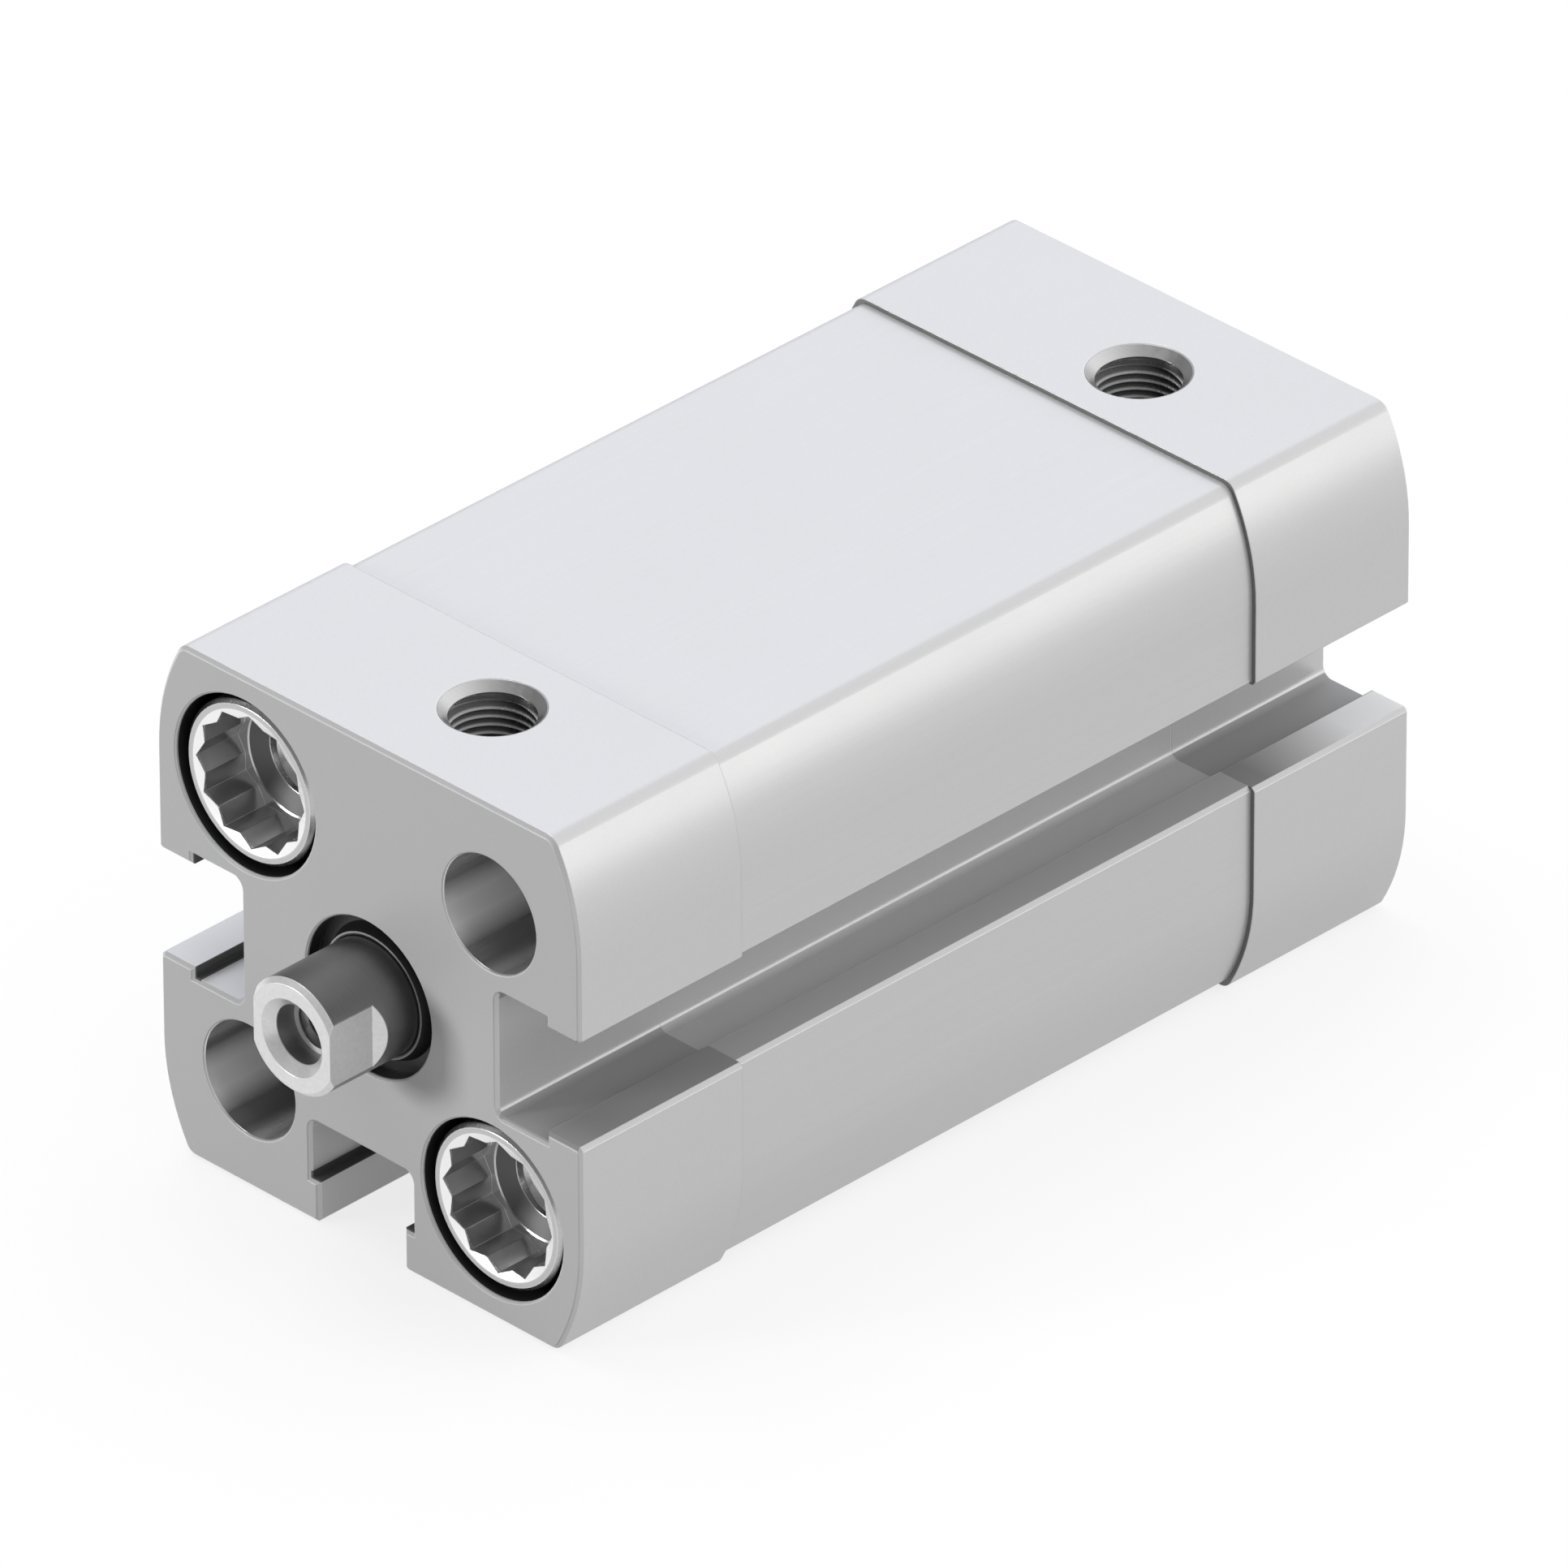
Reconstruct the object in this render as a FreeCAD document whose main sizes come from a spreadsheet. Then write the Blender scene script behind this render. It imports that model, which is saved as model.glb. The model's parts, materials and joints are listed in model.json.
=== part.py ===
"""Compact pneumatic cylinder: a square slotted body, two end caps and a sliding rod.

Frame: X to the right seen from the rod end, Y from the rod end to the rear, Z up.
The origin lies on the rod axis in the front face. The rod is fully retracted.
All sizes are in millimetres.
"""
import FreeCAD
import Part
import Sketcher
import math
import os

Vector = FreeCAD.Vector

SIZES = [
    # Outside of the body
    ("body_width", 27.7, "width and height of the square section"),
    ("flat_width", 24.3, "width of the flat top and bottom"),
    ("side_radius", 11.5, "radius of the four bowed side corners"),
    ("cap_length", 10.5, "length of each end cap along the rod"),
    ("barrel_inset", 0.25, "step from the caps in to the barrel"),
    ("edge_break", 0.2, "chamfer round the outer end faces"),
    ("hole_break", 0.1, "chamfer on the round holes in the end faces"),
    ("corner_radius", 0.8, "rounding of the four long body edges"),
    # Switch slots
    ("slot_opening", 5.6, "width of a slot between its lips"),
    ("slot_width", 6.7, "width of a slot behind its lips"),
    ("slot_depth", 5.45, "depth of a slot from the outside"),
    ("slot_lip", 2.25, "thickness of the slot lips"),
    ("slot_offset", 0.65, "sideways offset of the slots, away from the screw heads"),
    ("slot_corner", 0.5, "radius in the inner slot corners"),
    ("slot_break", 0.2, "chamfer on the outer edges of the slot lips"),
    # Bore, travel and end stops
    ("bore", 12.0, "cylinder bore"),
    ("stroke", 20.0, "travel of the piston"),
    ("spigot_length", 2.0, "how far each cap reaches into the bore"),
    ("end_gap", 0.05, "air between piston and cushion at each end of travel"),
    ("cushion_outer", 10.3, "outer diameter of a cushion ring"),
    ("cushion_inner", 7.2, "inner diameter of a cushion ring"),
    ("cushion_seated", 1.2, "depth of the cushion seat"),
    ("cushion_proud", 0.8, "how far a cushion stands out of its seat"),
    ("chamber_diameter", 8.4, "air chamber inside each cap"),
    ("chamber_length", 5.0, "length of the chamber up to the spigot end"),
    # Corner holes and collar screws
    ("hole_pitch", 16.0, "pitch of the four corner holes"),
    ("through_hole", 6.0, "diameter of the mounting holes"),
    ("screw_thread", 5.4, "mean thread diameter of the tapped holes for the collar screws"),
    ("screw_clearance", 1.0, "extra diameter of a cap hole over the mean screw thread"),
    ("screw_thread_gap", 0.05, "radial gap between screw and tapped hole"),
    ("counterbore", 9.2, "diameter of the screw head counterbores"),
    ("screw_head", 8.4, "diameter of a screw head"),
    ("screw_head_length", 4.3, "length of a screw head"),
    ("screw_recess", 0.3, "how far a screw head lies below the face"),
    ("screw_rim", 0.2, "chamfer on the rim of a screw head"),
    ("screw_grip", 8.0, "length of screw thread in the barrel"),
    ("socket_flats", 6.2, "width across flats of the twelve-point socket"),
    ("socket_rim", 0.17, "width of the socket cone outside the socket corners"),
    ("socket_cone", 0.2, "depth of the socket cone"),
    ("socket_depth", 2.75, "depth of the socket"),
    ("socket_ledge", 0.15, "land between the socket flats and the drilled cone"),
    ("mount_thread", 4.0, "diameter of the thread inside a screw"),
    ("mount_thread_length", 9.0, "depth of that thread below the socket floor"),
    ("screw_bore", 3.3, "hole right through a screw"),
    # Air ports
    ("port_offset", 2.05, "sideways position of the ports"),
    ("port_setback", 6.2, "port axis from the outer end face"),
    ("port_diameter", 5.0, "diameter of the port thread"),
    ("port_depth", 6.0, "depth of a port"),
    ("port_mouth", 5.2, "diameter of the port countersink"),
    ("passage_diameter", 1.8, "air passage from port to chamber"),
    ("passage_tilt", 34.0, "lean of the passage in degrees"),
    # Joint seals between caps and barrel
    ("joint_cord", 0.8, "cord diameter of a joint seal"),
    ("joint_groove_wall", 0.15, "land between bore and seal groove"),
    ("joint_groove_width", 1.2, "width of the seal groove"),
    ("joint_squeeze_gap", 0.05, "depth of the groove over the cord"),
    # Rod guide
    ("rod_diameter", 6.0, "piston rod"),
    ("running_gap", 0.02, "radial gap between rod and bush"),
    ("fit_gap", 0.01, "radial gap of parts seated in one another"),
    ("bush_outer", 8.0, "outer diameter of the bearing bush"),
    ("bush_land", 0.3, "land between wiper groove and bush"),
    ("wiper_setback", 0.9, "wiper groove from the front face"),
    ("wiper_width", 1.5, "width of the wiper groove"),
    ("wiper_outer", 8.9, "diameter of the wiper groove"),
    ("wiper_recess", 8.2, "open recess ahead of the wiper"),
    ("wiper_lip", 0.15, "thickness of the wiper lip at its edge"),
    ("wiper_lip_setback", 0.3, "wiper lip from the front face"),
    ("seal_gap", 0.05, "free room round seals, guide ring and cushions"),
    # Rod ends
    ("rod_reach", 4.9, "rod end from the front face, retracted"),
    ("rod_chamfer", 0.25, "chamfer on the rod end"),
    ("flats_width", 5.0, "width across the spanner flats"),
    ("flats_length", 2.75, "length of the spanner flats"),
    ("rod_thread", 3.0, "thread in the rod end"),
    ("rod_thread_depth", 9.0, "depth of the thread in the rod end"),
    ("rod_mouth", 4.0, "countersink of the rod end"),
    ("stub_diameter", 4.0, "rod stub that carries the piston"),
    ("stub_setback", 0.05, "stub end below the nut seat, so that the nut clamps"),
    # Piston
    ("disc_length", 3.1, "length of each piston disc"),
    ("disc_gap", 0.15, "radial gap between piston disc and bore"),
    ("seal_flange", 0.9, "flange outside each seal groove"),
    ("seal_groove_width", 1.6, "width of a piston seal groove"),
    ("seal_groove_floor", 8.6, "diameter of a piston seal groove floor"),
    ("seal_lip", 0.45, "thickness of the seal lips"),
    ("magnet_length", 2.0, "length of the magnet"),
    ("magnet_diameter", 10.0, "diameter of the magnet"),
    ("static_cord", 0.7, "cord diameter of the seal on the rod stub"),
    ("nut_thread", 3.0, "thread on the end of the rod stub"),
    ("nut_flats", 5.5, "width across flats of the piston nut"),
    ("nut_height", 2.0, "height of the piston nut"),
    ("nut_recess", 6.8, "diameter of the nut recess"),
    ("nut_sink", 0.2, "how far the nut lies below the disc face"),
]

# Lengths worked out from the sizes above
HALF = "(dims.body_width / 2)"
PITCH = "(dims.hole_pitch / 2)"
BORE_R = "(dims.bore / 2)"
ROD_R = "(dims.rod_diameter / 2)"
PISTON = "(2 * dims.disc_length + dims.magnet_length)"
STOP = "(dims.spigot_length + dims.cushion_proud + dims.end_gap)"
BARREL = f"(dims.stroke + {PISTON} + 2 * {STOP})"
TOTAL = f"(2 * dims.cap_length + {BARREL})"
SPIGOT_END = "(dims.cap_length + dims.spigot_length)"
CHAMBER_FLOOR = f"({SPIGOT_END} - dims.chamber_length)"
PISTON_FRONT = f"(dims.cap_length + {BARREL} - {STOP} - {PISTON})"
HEAD_END = "(dims.screw_recess + dims.screw_head_length)"
GROOVE_DEPTH = "(dims.joint_cord + dims.joint_squeeze_gap)"
JOINT_R = f"({BORE_R} + dims.joint_groove_wall + dims.joint_groove_width / 2)"
WIPER_END = "(dims.wiper_setback + dims.wiper_width)"
BUSH_START = f"({WIPER_END} + dims.bush_land)"
NUT_SEAT = "(dims.disc_length - dims.nut_height - dims.nut_sink)"
STUB = f"(dims.disc_length + dims.magnet_length + {NUT_SEAT} - dims.stub_setback)"

# Cutting sketches run this far past the surface
OVERRUN = 1.0

# Edges are found by position to within this distance
NEAR = 1e-4

# Corners of the section as signs of X and Z, seen from the rod end
SCREW_CORNERS = [(-1, 1), (1, -1)]
HOLE_CORNERS = [(1, 1), (-1, -1)]

doc = FreeCAD.newDocument("compact_cylinder")
sheet = doc.addObject("Spreadsheet::Sheet", "dims")
sheet.Label = "dims"
for row, (alias, size, meaning) in enumerate(SIZES, start=1):
    sheet.set(f"A{row}", alias)
    sheet.set(f"B{row}", str(size))
    sheet.set(f"C{row}", meaning)
    sheet.setAlias(f"B{row}", alias)
doc.recompute()


def value(expression):
    """Number that an expression has with the present sizes."""
    return float(sheet.evalExpression(expression))


def new_body(label):
    """Empty body with the given label."""
    body = doc.addObject("PartDesign::Body", label)
    body.Label = label
    return body


def new_sketch(body, name, role, offset=None):
    """Sketch on one origin plane of a body, moved along the plane normal."""
    sketch = body.newObject("Sketcher::SketchObject", f"{body.Name}_{name}")
    plane = next(item for item in body.Origin.OriginFeatures if item.Role == role)
    sketch.AttachmentSupport = (plane, [""])
    sketch.MapMode = "FlatFace"
    if offset is not None:
        sketch.setExpression("AttachmentOffset.Base.z", offset)
    return sketch


def bind(sketch, constraint, expression):
    """Adds a dimension and ties it to an expression."""
    index = sketch.addConstraint(constraint)
    sketch.setExpression(f"Constraints[{index}]", expression)


def add_polygon(sketch, corners):
    """Closed outline of straight edges; each corner is a pair of expressions."""
    first = sketch.GeometryCount
    count = len(corners)
    points = [Vector(value(x), value(y), 0) for x, y in corners]
    for i in range(count):
        sketch.addGeometry(Part.LineSegment(points[i], points[(i + 1) % count]), False)
    for i in range(count):
        after = first + (i + 1) % count
        sketch.addConstraint(Sketcher.Constraint("Coincident", first + i, 2, after, 1))
    for i, (x, y) in enumerate(corners):
        bind(sketch, Sketcher.Constraint("DistanceX", -1, 1, first + i, 1, points[i].x), x)
        bind(sketch, Sketcher.Constraint("DistanceY", -1, 1, first + i, 1, points[i].y), y)


def add_circle(sketch, x, y, diameter):
    """Circle with its centre and diameter given as expressions."""
    centre = Vector(value(x), value(y), 0)
    across = value(diameter)
    index = sketch.addGeometry(Part.Circle(centre, Vector(0, 0, 1), across / 2), False)
    bind(sketch, Sketcher.Constraint("DistanceX", -1, 1, index, 3, centre.x), x)
    bind(sketch, Sketcher.Constraint("DistanceY", -1, 1, index, 3, centre.y), y)
    bind(sketch, Sketcher.Constraint("Diameter", index, across), diameter)


def add_hexagon(sketch, flats, turn):
    """Regular hexagon round the sketch origin, one corner at the given angle."""
    across = value(flats)
    reach = across / math.sqrt(3)
    ring = sketch.addGeometry(Part.Circle(Vector(0, 0, 0), Vector(0, 0, 1), reach), True)
    sketch.addConstraint(Sketcher.Constraint("Coincident", ring, 3, -1, 1))
    bind(sketch, Sketcher.Constraint("Radius", ring, reach), f"{flats} / sqrt(3)")
    angles = [math.radians(turn + 60 * i) for i in range(6)]
    points = [Vector(reach * math.cos(a), reach * math.sin(a), 0) for a in angles]
    sides = []
    for i in range(6):
        sides.append(sketch.addGeometry(Part.LineSegment(points[i], points[(i + 1) % 6]), False))
    for i in range(6):
        sketch.addConstraint(Sketcher.Constraint("Coincident", sides[i], 2, sides[(i + 1) % 6], 1))
        sketch.addConstraint(Sketcher.Constraint("PointOnObject", sides[i], 1, ring))
    for i in range(1, 6):
        sketch.addConstraint(Sketcher.Constraint("Equal", sides[0], sides[i]))
    axis = -1 if turn == 0 else -2
    sketch.addConstraint(Sketcher.Constraint("PointOnObject", sides[0], 1, axis))


def edge_names(feature, wanted):
    """Names of the edges of a feature that pass a test."""
    doc.recompute()
    edges = enumerate(feature.Shape.Edges, start=1)
    return [f"Edge{number}" for number, edge in edges if wanted(edge)]


def pad(body, sketch, length):
    """Raises a sketch on the XZ plane toward +Y."""
    feature = body.newObject("PartDesign::Pad", f"{sketch.Name}_pad")
    feature.Profile = sketch
    feature.Reversed = True
    feature.setExpression("Length", length)
    return feature


def pocket(body, sketch, length):
    """Cuts a sketch against its plane normal."""
    feature = body.newObject("PartDesign::Pocket", f"{sketch.Name}_pocket")
    feature.Profile = sketch
    feature.setExpression("Length", length)
    return feature


def turned(body, name, corners, cut=False):
    """Revolves a half section, given as radius and length along Y, about the Y axis."""
    sketch = new_sketch(body, name, "XY_Plane")
    add_polygon(sketch, corners)
    kind = "PartDesign::Groove" if cut else "PartDesign::Revolution"
    feature = body.newObject(kind, f"{sketch.Name}_turned")
    feature.Profile = sketch
    feature.ReferenceAxis = (sketch, ["V_Axis"])
    feature.Angle = 360
    return feature


def cord_ring(label, radius, cord, along):
    """Round-section seal about the Y axis."""
    body = new_body(label)
    sketch = new_sketch(body, "cord", "XY_Plane")
    add_circle(sketch, radius, along, cord)
    feature = body.newObject("PartDesign::Revolution", f"{sketch.Name}_turned")
    feature.Profile = sketch
    feature.ReferenceAxis = (sketch, ["V_Axis"])
    feature.Angle = 360
    return body


def place(body, x, y, z, turn=0):
    """Puts a body at a position given as expressions, turned about Z."""
    base = Vector(value(x), value(y), value(z))
    body.Placement = FreeCAD.Placement(base, FreeCAD.Rotation(Vector(0, 0, 1), turn))
    for axis, expression in (("x", x), ("y", y), ("z", z)):
        body.setExpression(f"Placement.Base.{axis}", expression)


def outline(body, inset, length):
    """Square section with bowed sides, padded along Y."""
    sketch = new_sketch(body, "outline", "XZ_Plane")
    width = f"dims.body_width - 2 * {inset}"
    flat = f"dims.flat_width - {inset}"
    radius = f"dims.side_radius - {inset}"
    h = value(width) / 2
    f = value(flat) / 2
    r = value(radius)
    cx = h - r
    cz = h - math.sqrt(r * r - (f - cx) ** 2)
    bend = math.atan2(h - cz, f - cx)
    normal = Vector(0, 0, 1)

    def arc(x, z, start, end):
        """Corner arc about a centre."""
        circle = Part.Circle(Vector(x, z, 0), normal, r)
        return sketch.addGeometry(Part.ArcOfCircle(circle, start, end), False)

    def line(a, b):
        """Straight side between two points."""
        return sketch.addGeometry(Part.LineSegment(Vector(*a, 0), Vector(*b, 0)), False)

    top = line((f, h), (-f, h))
    left_top = arc(-cx, cz, math.pi - bend, math.pi)
    left = line((-h, cz), (-h, -cz))
    left_low = arc(-cx, -cz, math.pi, math.pi + bend)
    low = line((-f, -h), (f, -h))
    right_low = arc(cx, -cz, -bend, 0)
    right = line((h, -cz), (h, cz))
    right_top = arc(cx, cz, 0, bend)

    def join(a, a_end, b, b_end):
        """Brings two ends together."""
        sketch.addConstraint(Sketcher.Constraint("Coincident", a, a_end, b, b_end))

    def smooth(a, a_end, b, b_end):
        """Joins two ends without a corner."""
        sketch.addConstraint(Sketcher.Constraint("Tangent", a, a_end, b, b_end))

    join(top, 2, left_top, 1)
    smooth(left_top, 2, left, 1)
    smooth(left, 2, left_low, 1)
    join(left_low, 2, low, 1)
    join(low, 2, right_low, 1)
    smooth(right_low, 2, right, 1)
    smooth(right, 2, right_top, 1)
    join(right_top, 2, top, 1)
    sketch.addConstraint(Sketcher.Constraint("Vertical", left))
    sketch.addConstraint(Sketcher.Constraint("Vertical", right))
    sketch.addConstraint(Sketcher.Constraint("Symmetric", top, 1, top, 2, -2))
    sketch.addConstraint(Sketcher.Constraint("Symmetric", low, 1, low, 2, -2))
    sketch.addConstraint(Sketcher.Constraint("Symmetric", top, 1, low, 2, -1))
    for other in (left_top, left_low, right_low):
        sketch.addConstraint(Sketcher.Constraint("Equal", right_top, other))
    bind(sketch, Sketcher.Constraint("Radius", right_top, r), radius)
    bind(sketch, Sketcher.Constraint("DistanceX", top, 2, top, 1, 2 * f), flat)
    bind(sketch, Sketcher.Constraint("DistanceY", low, 1, top, 2, 2 * h), width)
    bind(sketch, Sketcher.Constraint("DistanceX", -1, 1, right, 1, h), f"({width}) / 2")
    bind(sketch, Sketcher.Constraint("DistanceX", left, 1, -1, 1, h), f"({width}) / 2")
    solid = pad(body, sketch, length)

    def on_corner(edge):
        """True for the four long edges where flat and bowed sides meet."""
        middle = edge.CenterOfMass
        return abs(abs(middle.x) - f) < NEAR and abs(abs(middle.z) - h) < NEAR

    fillet = body.newObject("PartDesign::Fillet", f"{body.Name}_long_edges")
    fillet.Base = (solid, edge_names(solid, on_corner))
    fillet.setExpression("Radius", "dims.corner_radius")
    return fillet


def slots(body, hand, inset, length):
    """Three T-slots: both sides and the underside."""
    sketch = new_sketch(body, "slots", "XZ_Plane")
    mouth = "dims.slot_opening / 2"
    wide = "dims.slot_width / 2"
    surface = f"({HALF} - {inset})"
    lip = f"({HALF} - dims.slot_lip)"
    floor = f"({HALF} - dims.slot_depth)"
    tee = [
        (f"({surface} + {OVERRUN})", f"{mouth} + dims.slot_break + {OVERRUN}"),
        (f"({surface} - dims.slot_break)", mouth),
        (lip, mouth),
        (lip, wide),
        (floor, wide),
    ]
    tee += [(out, f"-({across})") for out, across in reversed(tee)]
    for side in ("right", "left", "bottom"):
        corners = []
        for out, across in tee:
            if side == "right":
                corners.append((f"{hand} * {out}", f"dims.slot_offset + {across}"))
            elif side == "left":
                corners.append((f"-{hand} * {out}", f"-dims.slot_offset - ({across})"))
            else:
                corners.append((f"{hand} * (-dims.slot_offset + {across})", f"-{out}"))
        add_polygon(sketch, corners)
    cut = pocket(body, sketch, length)
    depth = value(floor)

    def inner_corner(edge):
        """True for the lengthwise edges at the floor of a slot."""
        middle = edge.CenterOfMass
        lengthwise = edge.BoundBox.YLength > edge.Length - NEAR
        on_floor = min(abs(abs(middle.x) - depth), abs(abs(middle.z) - depth)) < NEAR
        return lengthwise and on_floor

    fillet = body.newObject("PartDesign::Fillet", f"{body.Name}_slot_corners")
    fillet.Base = (cut, edge_names(cut, inner_corner))
    fillet.setExpression("Radius", "dims.slot_corner")
    return fillet


def corner_circles(body, name, corners, hand, diameter):
    """Circles at the given corners of the section."""
    sketch = new_sketch(body, name, "XZ_Plane")
    for x, z in corners:
        add_circle(sketch, f"{hand * x} * {PITCH}", f"{z} * {PITCH}", diameter)
    return sketch


def drilled(body, sketch, diameter, depth=None):
    """Round holes from a sketch of circles; right through without a depth."""
    doc.recompute()
    hole = body.newObject("PartDesign::Hole", f"{sketch.Name}_hole")
    hole.Profile = sketch
    doc.recompute()
    hole.Threaded = False
    hole.setExpression("Diameter", diameter)
    if depth is None:
        hole.DepthType = "ThroughAll"
    else:
        hole.DepthType = "Dimension"
        hole.DrillPoint = "Flat"
        hole.setExpression("Depth", depth)
    return hole


def end_chamfer(body, feature):
    """Chamfer round the outline of the outer face at Y zero."""

    def on_face(edge):
        """True for edges that lie in the outer face."""
        return max(abs(edge.BoundBox.YMin), abs(edge.BoundBox.YMax)) < NEAR

    chamfer = body.newObject("PartDesign::Chamfer", f"{body.Name}_edge_break")
    chamfer.Base = (feature, edge_names(feature, on_face))
    chamfer.setExpression("Size", "dims.edge_break")
    doc.recompute()
    return chamfer


def hole_chamfer(body, feature):
    """Chamfer on the round holes in the outer face at Y zero."""

    def on_rim(edge):
        """True for whole circles that lie in the outer face."""
        in_face = max(abs(edge.BoundBox.YMin), abs(edge.BoundBox.YMax)) < NEAR
        return in_face and edge.isClosed()

    chamfer = body.newObject("PartDesign::Chamfer", f"{body.Name}_hole_break")
    chamfer.Base = (feature, edge_names(feature, on_rim))
    chamfer.setExpression("Size", "dims.hole_break")
    doc.recompute()
    return chamfer


def build_cap(label, hand, bore_section):
    """End cap with its outer face at Y zero and its spigot toward +Y."""
    body = new_body(label)
    outline(body, "0", "dims.cap_length")
    rounded = slots(body, hand, "0", "dims.cap_length")
    end_chamfer(body, rounded)

    spigot = new_sketch(body, "spigot", "XZ_Plane", "-dims.cap_length")
    add_circle(spigot, "0", "0", "dims.bore - 2 * dims.fit_gap")
    pad(body, spigot, "dims.spigot_length")

    inner = f"({BORE_R} + dims.joint_groove_wall)"
    outer = f"({inner} + dims.joint_groove_width)"
    floor = f"(dims.cap_length - {GROOVE_DEPTH})"
    groove = [(inner, floor), (outer, floor), (outer, "dims.cap_length"), (inner, "dims.cap_length")]
    turned(body, "joint_groove", groove, cut=True)

    turned(body, "centre", bore_section, cut=True)

    screws = corner_circles(body, "screws", SCREW_CORNERS, hand, "dims.screw_thread")
    hole = drilled(body, screws, "dims.screw_thread + dims.screw_clearance")
    hole.HoleCutType = "Counterbore"
    hole.HoleCutCustomValues = True
    hole.setExpression("HoleCutDiameter", "dims.counterbore")
    hole.setExpression("HoleCutDepth", HEAD_END)

    mounting = corner_circles(body, "mounting", HOLE_CORNERS, hand, "dims.through_hole")
    hole = drilled(body, mounting, "dims.through_hole")
    hole_chamfer(body, hole)

    port = new_sketch(body, "port", "XY_Plane", HALF)
    add_circle(port, f"{hand} * dims.port_offset", "dims.port_setback", "dims.port_diameter")
    hole = drilled(body, port, "dims.port_diameter", "dims.port_depth")
    hole.HoleCutType = "Countersink"
    hole.HoleCutCustomValues = True
    hole.setExpression("HoleCutDiameter", "dims.port_mouth")
    hole.HoleCutCountersinkAngle = 90

    passage = body.newObject("PartDesign::SubtractiveCylinder", f"{body.Name}_passage")
    start = f"({HALF} - dims.port_depth + dims.passage_diameter / 2)"
    lean = FreeCAD.Rotation(Vector(1, 0, 0), 180 + value("dims.passage_tilt"))
    base = Vector(hand * value("dims.port_offset"), value("dims.port_setback"), value(start))
    passage.Placement = FreeCAD.Placement(base, lean)
    passage.setExpression("Placement.Base.x", f"{hand} * dims.port_offset")
    passage.setExpression("Placement.Base.y", "dims.port_setback")
    passage.setExpression("Placement.Base.z", start)
    passage.setExpression("Placement.Rotation.Angle", "180 + dims.passage_tilt")
    passage.setExpression("Radius", "dims.passage_diameter / 2")
    passage.setExpression("Height", f"({start} - {ROD_R}) / cos(dims.passage_tilt * 1deg)")
    return body


def build_screw(label, x, z, rear):
    """Collar screw: round head with a twelve-point socket on a hollow threaded shank."""
    body = new_body(label)
    head_r = "dims.screw_head / 2"
    shank_r = "(dims.screw_thread / 2 - dims.screw_thread_gap)"
    bore_r = "dims.screw_bore / 2"
    tapped_r = "dims.mount_thread / 2"
    socket_r = "dims.socket_flats / 2"
    mouth_r = "(dims.socket_flats / sqrt(3) + dims.socket_rim)"
    drill_r = f"({socket_r} - dims.socket_ledge)"
    thread_start = f"(dims.socket_depth + ({drill_r} - {tapped_r}) / sqrt(3))"
    tip = "(dims.cap_length - dims.screw_recess + dims.screw_grip)"
    thread_end = "(dims.socket_depth + dims.mount_thread_length)"
    turned(body, "section", [
        (drill_r, "dims.socket_cone"),
        (socket_r, "dims.socket_cone"),
        (mouth_r, "0"),
        (f"{head_r} - dims.screw_rim", "0"),
        (head_r, "dims.screw_rim"),
        (head_r, "dims.screw_head_length"),
        (shank_r, "dims.screw_head_length"),
        (shank_r, f"{tip} - dims.screw_rim * 2"),
        (f"{shank_r} - dims.screw_rim * 2", tip),
        (bore_r, tip),
        (bore_r, thread_end),
        (tapped_r, thread_end),
        (tapped_r, thread_start),
        (drill_r, "dims.socket_depth"),
    ])
    for name, turn in (("socket_upright", 0), ("socket_turned", 90)):
        sketch = new_sketch(body, name, "XZ_Plane")
        add_hexagon(sketch, "dims.socket_flats", turn)
        pocket(body, sketch, "dims.socket_depth")
    along = f"{TOTAL} - dims.screw_recess" if rear else "dims.screw_recess"
    place(body, f"{x} * {PITCH}", along, f"{z} * {PITCH}", 180 if rear else 0)
    return body


def screw_pair(label, rear):
    """The two screws of one cap as one group."""
    bodies = []
    for number, (x, z) in enumerate(SCREW_CORNERS, start=1):
        bodies.append(build_screw(f"{label}_{number}", x, z, rear))
    group = doc.addObject("Part::Compound", label)
    group.Label = label
    group.Links = bodies
    return group


def build_disc(label, nut_side):
    """Piston disc with its outer face at Y zero and a groove for a lip seal."""
    body = new_body(label)
    outer = f"({BORE_R} - dims.disc_gap)"
    floor = "dims.seal_groove_floor / 2"
    hole = "(dims.stub_diameter / 2 + dims.fit_gap)"
    groove_end = "(dims.seal_flange + dims.seal_groove_width)"
    section = [
        (outer, "0"),
        (outer, "dims.seal_flange"),
        (floor, "dims.seal_flange"),
        (floor, groove_end),
        (outer, groove_end),
        (outer, "dims.disc_length"),
    ]
    if nut_side:
        recess = "dims.nut_recess / 2"
        seat = "(dims.nut_height + dims.nut_sink)"
        section += [(hole, "dims.disc_length"), (hole, seat), (recess, seat), (recess, "0")]
    else:
        cord_r = "(dims.stub_diameter / 2 + dims.static_cord + 2 * dims.seal_gap)"
        cord_y = "(dims.disc_length - dims.static_cord - dims.seal_gap)"
        section += [(cord_r, "dims.disc_length"), (cord_r, cord_y), (hole, cord_y), (hole, "0")]
    turned(body, "section", section)
    return body


def build_lip_seal(label):
    """Piston seal of U section, its lips toward Y zero."""
    body = new_body(label)
    outer = f"({BORE_R} - dims.seal_gap)"
    inner = "(dims.seal_groove_floor / 2 + dims.seal_gap)"
    front = "dims.seal_gap"
    back = "(dims.seal_groove_width - dims.seal_gap)"
    turned(body, "section", [
        (inner, front),
        (f"{inner} + dims.seal_lip", front),
        (f"{inner} + dims.seal_lip", f"{back} - dims.seal_lip"),
        (f"{outer} - dims.seal_lip", f"{back} - dims.seal_lip"),
        (f"{outer} - dims.seal_lip", front),
        (outer, front),
        (outer, f"{front} + dims.seal_lip"),
        (f"{outer} - dims.disc_gap", back),
        (inner, back),
    ])
    return body


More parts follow.
